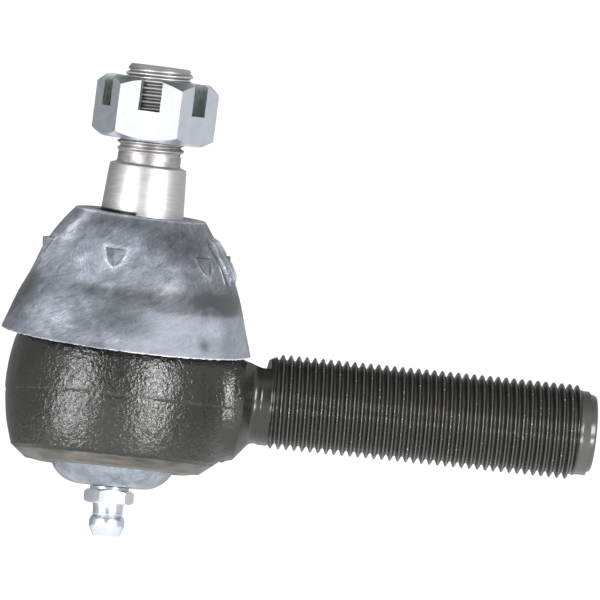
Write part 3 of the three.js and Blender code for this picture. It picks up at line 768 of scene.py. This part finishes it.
def drum_distance(p):
    """About how far points lie outside the drum: a barrel with a rounded crown."""
    cx, cz, bend = circle_through(DRUM_FOOT, DRUM_WAIST, DRUM_SHOULDER)
    z = np.clip(p[:, 2], DRUM_STOCK[0][1] + 2, DRUM_SHOULDER[1])
    side = cx + np.sqrt(np.maximum(bend**2 - (z - cz) ** 2, 0))
    r = np.hypot(p[:, 0], p[:, 1]) - side + DRUM_SHOULDER[0]
    corner_r = r - (DRUM_SHOULDER[0] - DRUM_CROWN_RADIUS)
    corner_z = p[:, 2] - (DRUM_TOP - DRUM_CROWN_RADIUS)
    outside = np.hypot(np.maximum(corner_r, 0), np.maximum(corner_z, 0))
    return outside + np.minimum(np.maximum(corner_r, corner_z), 0) - DRUM_CROWN_RADIUS


def forging_distance(p):
    """About how far points lie outside the rough forging, in millimetres."""
    x, y, z = p[:, 0], p[:, 1], p[:, 2]
    along = np.clip((ARM["flare_end"] - x) / (ARM["flare_end"] - ARM["flare_start"]), 0, 1.4)
    across = np.hypot(y / ARM["narrow"], z)
    arm = (across - ARM["r"] - ARM["flare"] * along**2) * (1 + ARM["narrow"]) / 2
    rise = (ARM_TOP["end"] - x) / (ARM_TOP["end"] - ARM_TOP["start"])
    top = z - ARM_TOP["low"] - (ARM_TOP["high"] - ARM_TOP["low"]) * np.clip(rise, -0.5, 3)
    arm = np.maximum(-smooth_least(-arm, -top, ARM_TOP["edge"]), ARM["begins"] - x)
    return smooth_least(drum_distance(p), arm, ARM["fillet"])


def settle_on_forging(p, rounds=4, probe=0.02):
    """Moves points onto the forging's surface."""
    for _ in range(rounds):
        here = forging_distance(p)
        slope = np.stack([(forging_distance(p + probe * e) - here) / probe for e in np.eye(3)], -1)
        p = p - (here / np.maximum((slope**2).sum(-1), 0.2))[:, None] * slope
    return p


def rough_forging():
    """The forging before it is machined: drum and arm in one skin, pebbled, with its parting line."""
    (wide, below), (_, above) = DRUM_STOCK[0], DRUM_STOCK[-1]
    drum = turned("housing", [(0, below), *DRUM_STOCK, (0, above)], 96)
    end = SHANK_THREAD["start"] + SHANK_THREAD["pitch"] + 0.05
    r, root = ARM_STOCK
    machine(drum, "UNION", turned("arm", [(0, root), (r, root), (r, end), (0, end)], 96, ALONG_X))
    skin = drum.modifiers.new("skin", "REMESH")
    skin.mode = "VOXEL"
    skin.voxel_size = 0.27 * MM
    applied(drum)
    points = vertex_values(drum, "co") / MM
    free = (points[:, 2] > below + 0.6) & (points[:, 0] < end - 0.5)
    points[free] = settle_on_forging(points[free])
    set_points(drum, points)
    pebbles = sum(height * grain(points, size, seed) for height, size, seed in PEBBLES)
    parting = PARTING["height"] + PARTING["wander"] * grain(points, 6.0, 3)
    step = (points[:, 2] - parting) / PARTING["width"]
    pebbles += PARTING["step"] * np.tanh(step) - PARTING["groove"] * np.exp(-(step**2))
    set_points(drum, points + vertex_values(drum, "normal") * (pebbles * free)[:, None])
    return drum


def foot_cutter():
    """What the lathe takes off the drum's foot: below the lip, and outside the chamfer."""
    (r0, z0), (r1, z1) = LIP[-1], DRUM_FOOT
    reach, far, below = r1 + 1.0, 30, -24
    chamfer_top = z1 + (reach - r1) * (z1 - z0) / (r1 - r0)
    ledge = [(reach, chamfer_top), (reach, z1 - 0.2), (far, z1 - 0.2), (far, below)]
    outline = [(0, LIP[0][1]), *LIP, DRUM_FOOT, *ledge, (0, below)]
    return turned("foot_cutter", outline, 192)


def neck_cutter():
    """What the lathe takes off round the neck, down to its shoulder."""
    r, start = NECK["r"], NECK["start"]
    reach = 20.0
    outline = [
        (r - 0.02, SHANK_THREAD["start"] + 8),
        (r - 0.02, SHANK_THREAD["start"] + 0.1),
        (r, NECK["step"] + 0.4),
        (r - 0.03, NECK["step"] + 0.2),
        (r - 0.14, NECK["step"]),
        (r - 0.17, NECK["step"] - 0.2),
        (r - 0.16, start + 0.9),
        *arc(r + 1.3, start + 0.9, 1.46, 180, 232, 6),
        (reach, start - 0.4 - (reach - r) / NECK["slope"]),
        (reach, SHANK_THREAD["start"] + 8),
    ]
    return turned("neck_cutter", outline, 160, ALONG_X)


def neck_flat_cutter():
    """The flat over the neck that lets the boot rim pass."""
    (first, _), (last, _) = NECK_FLAT[0], NECK_FLAT[-1]
    outline = [*NECK_FLAT, (last, 16), (first, 16)]
    return prism("neck_flat_cutter", outline, -12, 12, Matrix.Rotation(math.pi / 2, 4, "X"))


def socket_cutter():
    """Lip bore, cap recess, seat bore, ball socket and mouth."""
    below, above = -24, 20
    top = math.degrees(math.acos(MOUTH_RADIUS / SOCKET_RADIUS))
    outline = [
        (0, below),
        (LIP[0][0], below),
        (LIP[0][0], CAP_RECESS["bottom"]),
        (CAP_RECESS["r"], CAP_RECESS["bottom"]),
        (CAP_RECESS["r"], CAP_RECESS["top"]),
        (SEAT_BORE_RADIUS, CAP_RECESS["top"]),
        (SEAT_BORE_RADIUS, -1.5),
        *arc(0, 0, SOCKET_RADIUS, 0, top, 16),
        MOUTH_FLARE,
        (MOUTH_FLARE[0], above),
        (0, above),
    ]
    return turned("socket_cutter", outline, 128)


def shank_nose():
    """The plain chamfered end of the shank, with its lathe centre."""
    n = NOSE
    outline = [
        (0, n["start"]),
        (SHANK_THREAD["root"] - 0.2, n["start"]),
        (n["r"] - 0.05, n["start"] + 0.9),
        (n["r"], n["start"] + 1.3),
        *arc(n["end_r"] - n["rounding"], n["end"] - n["rounding"], n["rounding"], 8, 90, 6),
        (SHANK_CENTRE["r"], n["end"]),
        (0, n["end"] - SHANK_CENTRE["depth"]),
    ]
    return turned("nose", outline, 128, ALONG_X)


def build_housing():
    body = rough_forging()
    machine(body, "DIFFERENCE", foot_cutter(), neck_cutter(), socket_cutter())
    thread = threaded_rod("thread", SHANK_THREAD, 64, ALONG_X)
    machine(body, "UNION", thread, shank_nose())
    machine(body, "DIFFERENCE", neck_flat_cutter())
    finished(body, "housing", "socket", "painted_forging", painted_forging(), sharp=40)


# ---------------------------------------------------------------- pieces below the ball


def build_pressure_seat():
    s = SEAT
    hole_angle = -math.degrees(math.acos(s["hole"] / s["cup"]))
    outline = [
        (s["hole"], s["foot"]),
        *arc(0, 0, s["cup"], hole_angle, ball_angle(s["rim"], s["cup"]), 20),
        (s["r"] - 0.3, s["rim"]),
        (s["r"], s["rim"] - 0.3),
        (s["r"], s["foot"] + 0.4),
        (s["r"] - 0.4, s["foot"]),
    ]
    seat = turned("pressure_seat_moulding", outline, 96)
    finished(seat, "pressure_seat", "seat", "seat_acetal", natural_acetal())


def build_end_cap():
    d = CAP_DOME
    height = d["start"] - d["bottom"]
    bend = ((d["r"] - d["flat"]) ** 2 + height**2) / (2 * height)

    def dome(offset):
        """The dome's curve, offset inwards."""
        return arc(d["flat"], d["bottom"] + bend, bend - offset, ball_angle(height - bend, bend), -90, 20)

    outline = [
        (CAP_FLANGE["r"], CAP_FLANGE["top"]),
        (CAP_FLANGE["r"], CAP_FLANGE["bottom"]),
        (d["r"] + 0.3, CAP_FLANGE["bottom"]),
        (d["r"], CAP_FLANGE["bottom"] - 0.1),
        *dome(0),
        (CAP_HOLE_RADIUS + 0.4, d["bottom"]),
        (CAP_HOLE_RADIUS, d["bottom"] + 0.3),
        (CAP_HOLE_RADIUS, d["bottom"] + CAP_WALL),
        *reversed(dome(CAP_WALL)),
        (d["r"] - CAP_WALL, CAP_FLANGE["top"]),
    ]
    cap = turned("end_cap_pressing", outline, 128)
    finished(cap, "end_cap", "socket", "dull_zinc", dull_zinc())


def fitting_hex():
    """The fitting's hexagon with its corners chamfered at both ends."""
    h = FITTING_HEX
    corner = h["flats"] / math.sqrt(3) + 0.2
    drop = (corner - h["chamfer"]) * h["slope"]
    chamfered = [
        (h["core"], h["top"]),
        (h["chamfer"], h["top"]),
        (corner, h["top"] - drop),
        (corner, h["bottom"] + drop),
        (h["chamfer"], h["bottom"]),
        (h["core"], h["bottom"]),
    ]
    body = prism("hex", hexagon(h["flats"], h["azimuth"]), h["bottom"], h["top"])
    machine(body, "INTERSECT", turned("hex_chamfer", chamfered, 96))
    return body


def build_grease_fitting():
    b = FITTING_BULGE
    bulge = arc(b["r"], b["z"], b["radius"], b["from"], 0, 10)
    body = turned("grease_fitting_body", [*FITTING_STEM, *bulge, *FITTING_MOUTH], 96)
    machine(body, "UNION", fitting_hex())
    rounded(body, 0.07)
    pivot = Matrix.Translation((0, 0, FITTING_HEX["top"] * MM))
    body.data.transform(pivot @ Matrix.Rotation(math.radians(-FITTING_TILT), 4, "Y") @ pivot.inverted())
    finished(body, "grease_fitting", "socket", "bright_zinc", bright_zinc(), sharp=50)


def build_spring(name, node, spring, mover, still, moved, **detail):
    """A coil of spring wire that stays where it is built, on no body."""
    wire = coil(name, spring, **detail)
    wire.data.shade_smooth()
    bend = [(0, 0, spring[end] * MM) for end in (still, moved)]
    finished(wire, node, ("socket", mover), "spring_steel", spring_steel(), sharp=None, bend=bend)


def build_springs():
    fine, coarse = {"sides": 16, "steps_per_turn": 64}, {"sides": 8, "steps_per_turn": 24}
    build_spring("preload_spring_wire", "preload_spring", PRELOAD, "seat", "foot", "top", **fine)
    build_spring(
        "check_spring_wire", "grease_check_spring", CHECK_SPRING, "check_valve", "top", "foot", **coarse
    )


def build_check_ball():
    angles = arc(0, CHECK_BALL["z"], CHECK_BALL["r"], -90, 90, 16)
    ball = turned("check_ball", [(0, angles[0][1]), *angles[1:-1], (0, angles[-1][1])], 32)
    finished(ball, "grease_check_ball", "check_valve", "bearing_steel", bearing_steel())


# ---------------------------------------------------------------- pieces on the stud axis


def build_half_ball():
    h = HALF_BALL
    bore_top = math.sqrt(h["r"] ** 2 - (h["bore"] + 0.6) ** 2)
    outline = [
        (h["cone_r"], h["foot"]),
        *arc(0, 0, h["r"], ball_angle(h["foot"], h["r"]), ball_angle(bore_top, h["r"]), 28),
        (h["bore"] + 0.2, bore_top),
        (h["bore"], bore_top - 0.2),
        (h["bore"], h["cone_top"]),
    ]
    ball = turned("half_ball", outline, 128, LEANING)
    finished(ball, "half_ball_bearing", "rocker", "bearing_steel", bearing_steel())


def build_boot_ring():
    inner, outer, top = BOOT_RING["inner"], BOOT_RING["outer"], BOOT_CROWN_FOOT - 0.3
    foot = top - BOOT_RING["thickness"]
    outline = [(inner, foot), (outer, foot), (outer, top), (inner, top)]
    ring = rounded(turned("boot_ring", outline, 96, LEANING), 0.15)
    finished(ring, "boot_support_ring", "rocker", "dull_zinc", dull_zinc())


def taper_radius(w):
    """Radius of the stud's taper at a height up the stud."""
    return (TAPER["end_diameter"] + (TAPER["end"] - w) / TAPER["ratio"]) / 2


def stud_blank():
    """The stud without its thread: ball half, cone, neck, taper and undercut."""
    ball, neck, start, end = STUD_HEAD["r"], STUD_NECK["r"], TAPER["start"], TAPER["end"]
    shoulder = HALF_BALL["foot"] - RUNNING_GAP
    outline = [
        (0, STUD_HEAD["flat"]),
        *arc(0, 0, ball, ball_angle(STUD_HEAD["flat"], ball), ball_angle(shoulder, ball), 20),
        (HALF_BALL["cone_r"] - RUNNING_GAP, shoulder),
        (neck, HALF_BALL["cone_top"] - RUNNING_GAP),
        (neck, STUD_NECK["end"]),
        (taper_radius(start) - 0.3, start - 0.8),
        (taper_radius(start), start),
        (taper_radius(end - TAPER["edge"]), end - TAPER["edge"]),
        (taper_radius(end) - 0.12, end - 0.12),
        (taper_radius(end) - TAPER["edge"], end),
        (UNDERCUT_RADIUS + 0.5, end + 0.05),
        (UNDERCUT_RADIUS + 0.12, end + 0.25),
        (UNDERCUT_RADIUS, end + 0.7),
        (UNDERCUT_RADIUS, STUD_THREAD["start"] + 0.5),
        (UNDERCUT_RADIUS - 0.35, STUD_THREAD["start"] + 1.4),
        (0, STUD_THREAD["start"] + 1.4),
    ]
    return turned("ball_stud_forging", outline, 160, LEANING)


def stud_end_envelope():
    """What is left of the thread after its end is faced and chamfered."""
    wide = STUD_THREAD["crest"] + 1
    narrow = STUD_THREAD["crest"] - STUD_END["chamfer"]
    outline = [
        (0, STUD_THREAD["start"] - 2),
        (wide, STUD_THREAD["start"] - 2),
        (wide, STUD_END["w"] - (wide - narrow) * STUD_END["slope"]),
        (narrow, STUD_END["w"] - 0.05),
        (narrow - 0.2, STUD_END["w"]),
        (0, STUD_END["w"]),
    ]
    return turned("stud_end_envelope", outline, 128, LEANING)


def cotter_drill():
    """The drill that crosses the stud under the nut's slots."""
    r, reach = COTTER_HOLE["r"], 12
    turn = Matrix.Rotation(math.radians(NUT["azimuth"] + COTTER_HOLE["from_slot"]), 4, "Z")
    place = LEANING @ Matrix.Translation((0, 0, COTTER_HOLE["w"] * MM)) @ turn
    outline = [(0, -reach), (r, -reach), (r, reach), (0, reach)]
    return turned("cotter_drill", outline, 48, place @ Matrix.Rotation(math.pi / 2, 4, "X"))


def build_stud():
    body = stud_blank()
    thread = threaded_rod("stud_thread", STUD_THREAD, 64, LEANING)
    machine(thread, "INTERSECT", stud_end_envelope())
    machine(body, "UNION", thread)
    machine(body, "DIFFERENCE", cotter_drill())
    finished(body, "ball_stud", "stud", "stud_steel", ground_steel(), sharp=40)


def nut_envelope():
    """The turned body that leaves the nut's two chamfers."""
    foot, top = NUT_FOOT_CHAMFER, NUT_TOP_CHAMFER
    reach = NUT["flats"] / math.sqrt(3) + 0.3
    outline = [
        (0, NUT["foot"]),
        (foot["r"], NUT["foot"]),
        (reach, NUT["foot"] + (reach - foot["r"]) * foot["slope"]),
        (reach, NUT["top"] - (reach - top["r"]) * top["slope"]),
        (top["r"], NUT["top"]),
        (0, NUT["top"]),
    ]
    return turned("nut_chamfer", outline, 192, LEANING)


def nut_bore():
    """The nut's plain bore, countersunk at both ends."""
    r, foot, top = NUT["bore"], NUT["foot"], NUT["top"]
    outline = [(0, foot - 1), (r + 1.7, foot - 1), (r, foot + 0.7), (r, top - 0.5), (r + 1.5, top + 1)]
    return turned("nut_bore", [*outline, (0, top + 1)], 128, LEANING)


def two_materials(obj):
    """Gives a mesh two empty material slots, so that cut faces can keep the second."""
    for _ in range(2):
        obj.data.materials.append(None)
    return obj


def build_nut():
    n = NUT
    corners = hexagon(n["flats"], n["azimuth"])
    body = two_materials(prism("castle_nut_body", corners, n["foot"], n["top"], LEANING))
    machine(body, "INTERSECT", nut_envelope())
    half, reach = NUT_SLOT["width"] / 2, n["flats"]
    slot = [(-half, -reach), (half, -reach), (half, reach), (-half, reach)]
    for i in range(NUT_SLOT["cuts"]):
        turn = Matrix.Rotation(math.radians(n["azimuth"] + 180 * i / NUT_SLOT["cuts"]), 4, "Z")
        cutter = prism("slot", slot, n["top"] - NUT_SLOT["depth"], n["top"] + 1, LEANING @ turn)
        two_materials(cutter)
        cutter.data.polygons.foreach_set("material_index", [1] * len(cutter.data.polygons))
        machine(body, "DIFFERENCE", cutter)
    machine(body, "DIFFERENCE", nut_bore())
    flat_faced(rounded(body, 0.14, segments=3, angle=25))
    finished(body, "castle_nut", "nut", "bright_zinc", bright_zinc(), slot_zinc(), sharp=None)


# ---------------------------------------------------------------- boot


def boot_radius(outline, w):
    """Radius of the boot's wall at heights w up the stud axis."""
    curve = np.array(sorted(outline, key=lambda p: p[1]))
    return np.interp(w, curve[:, 1], curve[:, 0])


def nib_offset(angle):
    """Signed angle, in radians, from each direction to its nearest nib."""
    step = 2 * math.pi / NIB["count"]
    first = math.radians(NIB["azimuth"]) - math.pi / 2
    return (angle - first + step / 2) % step - step / 2


def apparent(angle):
    """Degrees round the boot from the front, towards +X, of angles from its own X axis."""
    return (np.degrees(angle) + 90 + lean_azimuth + 180) % 360 - 180


def boot_band(azimuth, w):
    """1 in the plain band round the boot's foot, which is smoother on the shank's side."""
    side = np.clip((azimuth - BOOT_BAND["from"]) / 25, 0, 1) * np.clip((BOOT_BAND["to"] - azimuth) / 20, 0, 1)
    return side / (1 + np.exp((w - BOOT_BAND["top"]) / 0.12))


def nib_wear(azimuth, w):
    """Dark on the face of each nib and pale round it."""
    across = np.abs(nib_offset(np.radians(azimuth - lean_azimuth - 90))) * NIB["apex"]
    below = NIB["top"] - w
    half = NIB["half"] * np.sqrt(np.clip(1 - below / NIB["tall"], 0, 1))
    on_nib = (across < half) & (below > 0)
    beside = np.hypot(np.maximum(across - half, 0), np.maximum(-below, 0))
    beside = np.hypot(beside, np.maximum(below - NIB["tall"] - 0.1, 0))
    return np.where(on_nib, -0.45, 0.42 * np.exp(-(((beside - 0.3) / 0.55) ** 2)))


def boot_wear_and_highlights(azimuth, w):
    """How worn or bloomed the boot's skin is, with painted highlight lines along its top edge and its rim:
    below 0 darker, above 0 paler.
    """
    wear_and_highlights = np.full(azimuth.shape, 0.06)
    for centre, height, wide, tall, amount in BOOT_PATCHES:
        away = ((azimuth - centre + 180) % 360 - 180) / wide
        wear_and_highlights += amount * np.exp(-(away**2) - ((w - height) / tall) ** 2)
    wear_and_highlights += BOOT_BAND["amount"] * boot_band(azimuth, w)
    wear_and_highlights += np.where(flash_cover(azimuth, w) > 0, 1.7 * flash_ridges(azimuth, w), 0)
    wear_and_highlights += nib_wear(azimuth, w)
    # Painted highlights: pale lines along the top edge and along the rim's foot.
    wear_and_highlights += BOOT_EDGE_HIGHLIGHT * np.exp(-(((w - BOOT_TOP) / 0.25) ** 2))
    return wear_and_highlights + BOOT_EDGE_HIGHLIGHT * (w < BOOT_RIM + 0.15)


def flash_cover(azimuth, w):
    """1 where mould flash stands on the boot's shoulder, 0 off it."""
    f = BOOT_FLASH
    inside = np.clip(1.15 - np.abs(azimuth - f["azimuth"]) / f["wide"], 0, 0.3) / 0.3
    return inside * np.clip((w - f["foot"]) / 1.5, 0, 1) * np.clip((f["top"] - w) / 0.5, 0, 1)


def flash_ridges(azimuth, w):
    """Relief of the torn flash, in slivers that run up the boot."""
    return noise_at(0.5 * azimuth, 0.25 * w, 7.0)


def boot_flash(azimuth, w):
    """Height of the torn mould flash, in millimetres."""
    relief = np.clip(0.3 + 2.4 * flash_ridges(azimuth, w), 0, 1.3)
    return BOOT_FLASH["height"] * flash_cover(azimuth, w) * relief


def boot_rows():
    """The boot's outline, the heights down its outside, and the points up its inside and over its top."""
    smooth = smooth_outline(BOOT_OUTLINE, 20)
    ledge = [NIB["top"] + 0.03, NIB["top"] - 0.03]
    outside = sorted([p[1] for p in smooth if abs(p[1] - NIB["top"]) > 0.08] + ledge, reverse=True)
    inside = []
    for r, h in reversed([p for p in smooth if p[1] < BOOT_TOP - 3][::5]):
        wall = BOOT_RIM_WALL + (BOOT_WALL - BOOT_RIM_WALL) * min((h - BOOT_RIM) / 4, 1)
        inside.append((r - wall, h + 0.02))
    crown = [
        (BOOT_RING["outer"] + 0.35, BOOT_CROWN_FOOT),
        (BOOT_COLLAR["r"], BOOT_CROWN_FOOT),
        (BOOT_COLLAR["r"], BOOT_COLLAR["foot"]),
        (BOOT_TOP_HOLE + 0.35, BOOT_COLLAR["foot"]),
        (BOOT_TOP_HOLE, BOOT_TOP - 0.4),
        (BOOT_TOP_HOLE + 0.3, BOOT_TOP - 0.02),
        (BOOT_TOP_RADIUS - 0.9, BOOT_TOP + 0.08),
        (BOOT_TOP_RADIUS - 0.45, BOOT_TOP + 0.06),
        (BOOT_TOP_RADIUS - 0.12, BOOT_TOP + 0.03),
    ]
    return smooth, outside, inside + crown


def boot_angles():
    """Directions of the boot's mesh lines: even all round, and close together over the nibs."""
    even = 2 * math.pi * np.arange(360) / 360
    close = np.radians(np.linspace(-9, 9, 31))
    first = math.radians(NIB["azimuth"]) - math.pi / 2
    nibs = [first + 2 * math.pi * i / NIB["count"] + close for i in range(NIB["count"])]
    return np.unique(np.round(np.concatenate([even, *nibs]) % (2 * math.pi), 6))


def boot_surface(angles):
    """Radius and height of every point of the boot, a row for each ring."""
    smooth, outside, inside = boot_rows()
    c, s = np.cos(angles), np.sin(angles)
    heights = np.array(outside)[:, None] + 0 * angles
    nib = NIB["apex"] - np.abs(nib_offset(angles)) * NIB["fall"]
    outer = np.maximum(boot_radius(smooth, heights), np.where(heights < NIB["top"], nib, 0))
    for relief, round_it, up_it in BOOT_LUMPS:
        outer = outer + relief * noise_at(round_it * c, round_it * s, up_it * heights)
    outer = outer + boot_flash(apparent(angles) + 0 * heights, heights)
    heights[-1] += 0.16 * noise_at(30 * c, 30 * s, 4.0)
    inside = np.array(inside)[:, :, None] + 0 * angles
    return np.vstack([outer, inside[:, 0]]), np.vstack([heights, inside[:, 1]])


def point_values(mesh, name, values):
    """Keeps a number or a vector for each point of a mesh, for its material to read."""
    kind, key = ("FLOAT", "value") if values.ndim == 1 else ("FLOAT_VECTOR", "vector")
    kept = mesh.attributes.new(name, kind, "POINT")
    kept.data.foreach_set(key, values.astype(np.float32).ravel())


def build_boot():
    angles = boot_angles()
    r, w = boot_surface(angles)
    shift = BOOT_SKEW * (np.exp(-(((w - 20) / 4.5) ** 2)) - np.exp(-(((w - 29.5) / 3.5) ** 2)))
    points = np.stack([r * np.cos(angles) + shift, r * np.sin(angles), w], -1).reshape(-1, 3)
    faces = bands(len(r), len(angles), closed=True)
    boot = face_outward(new_object("dust_boot_rubber", points, faces, LEANING))
    azimuth = (apparent(angles) + 0 * w).ravel()
    point_values(boot.data, "wear_and_highlights", boot_wear_and_highlights(azimuth, w.ravel()))
    point_values(boot.data, "rubbed", 1 - 0.6 * boot_band(azimuth, w.ravel()))
    inward = np.clip(BOOT_TOP_RADIUS - r, 0, None) * (w > BOOT_TOP - 0.5)
    unrolled = np.stack([np.radians(azimuth) * BOOT_SKIN_RADIUS, (w + inward).ravel(), 0 * azimuth], -1)
    point_values(boot.data, "unrolled", unrolled * MM)
    bend = [stud_axis * BOOT_BEND[end] * MM for end in ("from", "to")]
    finished(boot, "dust_boot", ("boot", "rocker"), "boot_rubber", boot_rubber(), sharp=38, bend=bend)


# ---------------------------------------------------------------- studio


def build_world():
    """A white backdrop, lit by a pale room: bright table in front, dark round the camera, dim behind."""
    world = bpy.data.worlds.new("studio")
    bpy.context.scene.world = world
    world.use_nodes = True
    tree = world.node_tree
    tree.nodes.clear()
    direction = new_node(tree, "TexCoord").outputs["Generated"]

    def towards(bearing, low, high, glow):
        """A glow round a bearing, from where its cosine is low to where it is high."""
        dot = new_node(tree, "VectorMath", {0: direction, 1: bearing}, operation="DOT_PRODUCT")
        limits = {"From Min": low, "From Max": high, "To Min": 0.0, "To Max": glow}
        inputs = {"Value": dot.outputs["Value"], **limits}
        return new_node(tree, "MapRange", inputs, interpolation_type="SMOOTHSTEP").outputs["Result"]

    total = ROOM_GLOW
    for patch in ROOM_PATCHES:
        total = new_node(tree, "Math", {0: total, 1: towards(*patch)}).outputs["Value"]
    white = (1.0, 1.0, 1.0, 1.0)
    reflected = new_node(tree, "Background", {"Color": white, "Strength": total}).outputs[0]
    seen = new_node(tree, "Background", {"Color": white, "Strength": BACKDROP_GLOW}).outputs[0]
    path = new_node(tree, "LightPath").outputs["Is Camera Ray"]
    mixed = new_node(tree, "MixShader", {0: path, 1: reflected, 2: seen}).outputs[0]
    new_node(tree, "OutputWorld", {"Surface": mixed})


def aim(obj, azimuth, elevation, distance, target=(0.0, 0.0, 0.0), roll=0.0):
    """Stands an object off a target and faces it; azimuth 0 is in front, 90 on the shank's side."""
    a, e = math.radians(azimuth), math.radians(elevation)
    away = Vector((math.sin(a) * math.cos(e), -math.cos(a) * math.cos(e), math.sin(e)))
    obj.location = (Vector(target) + away * distance) * MM
    obj.rotation_mode = "QUATERNION"
    turn = Quaternion((0, 0, 1), math.radians(roll))
    obj.rotation_quaternion = (-away).to_track_quat("-Z", "Y") @ turn


def softbox(name, azimuth, elevation, width, height, glow):
    """A rectangular lamp that faces the part."""
    lamp = bpy.data.lights.new(name, "AREA")
    lamp.shape = "RECTANGLE"
    lamp.size = width * MM
    lamp.size_y = height * MM
    lamp.energy = glow * math.pi * lamp.size * lamp.size_y
    aim(placed(name, lamp), azimuth, elevation, SOFTBOX_DISTANCE)


def build_floor():
    """A pale round light table well below the part; it can be seen through from underneath."""
    angles = 2 * math.pi * np.arange(FLOOR["sides"]) / FLOOR["sides"]
    rim = [(FLOOR["r"] * math.cos(a), FLOOR["r"] * math.sin(a), FLOOR["z"]) for a in angles]
    floor = new_object("floor", rim, [tuple(range(FLOOR["sides"]))])
    white = (FLOOR["white"], FLOOR["white"], FLOOR["white"], 1.0)
    glow = {"Emission_Color": white, "Emission_Strength": FLOOR["glow"]}
    s = Shader("floor", Base_Color=white, Roughness=0.6, **glow)
    under = s.node("NewGeometry").outputs["Backfacing"]
    clear = s.node("BsdfTransparent").outputs[0]
    mixed = s.node("MixShader", {0: under, 1: s.bsdf.outputs[0], 2: clear}).outputs[0]
    s.tree.links.new(mixed, s.tree.nodes["Material Output"].inputs["Surface"])
    floor.data.materials.append(s.material)


def build_camera():
    data = bpy.data.cameras.new("camera")
    data.lens = CAMERA["lens"]
    data.clip_start = 0.05
    data.clip_end = 20.0
    camera = placed("camera", data)
    aim(camera, *(CAMERA[key] for key in ("azimuth", "elevation", "distance", "target", "roll")))
    bpy.context.scene.camera = camera


def main():
    build_camera()
    build_housing()
    build_pressure_seat()
    build_end_cap()
    build_grease_fitting()
    build_springs()
    build_check_ball()
    build_half_ball()
    build_boot_ring()
    build_stud()
    build_nut()
    build_boot()
    build_floor()
    build_world()
    for lamp in SOFTBOXES:
        softbox(*lamp)
    bpy.context.scene.view_settings.view_transform = "Standard"


main()
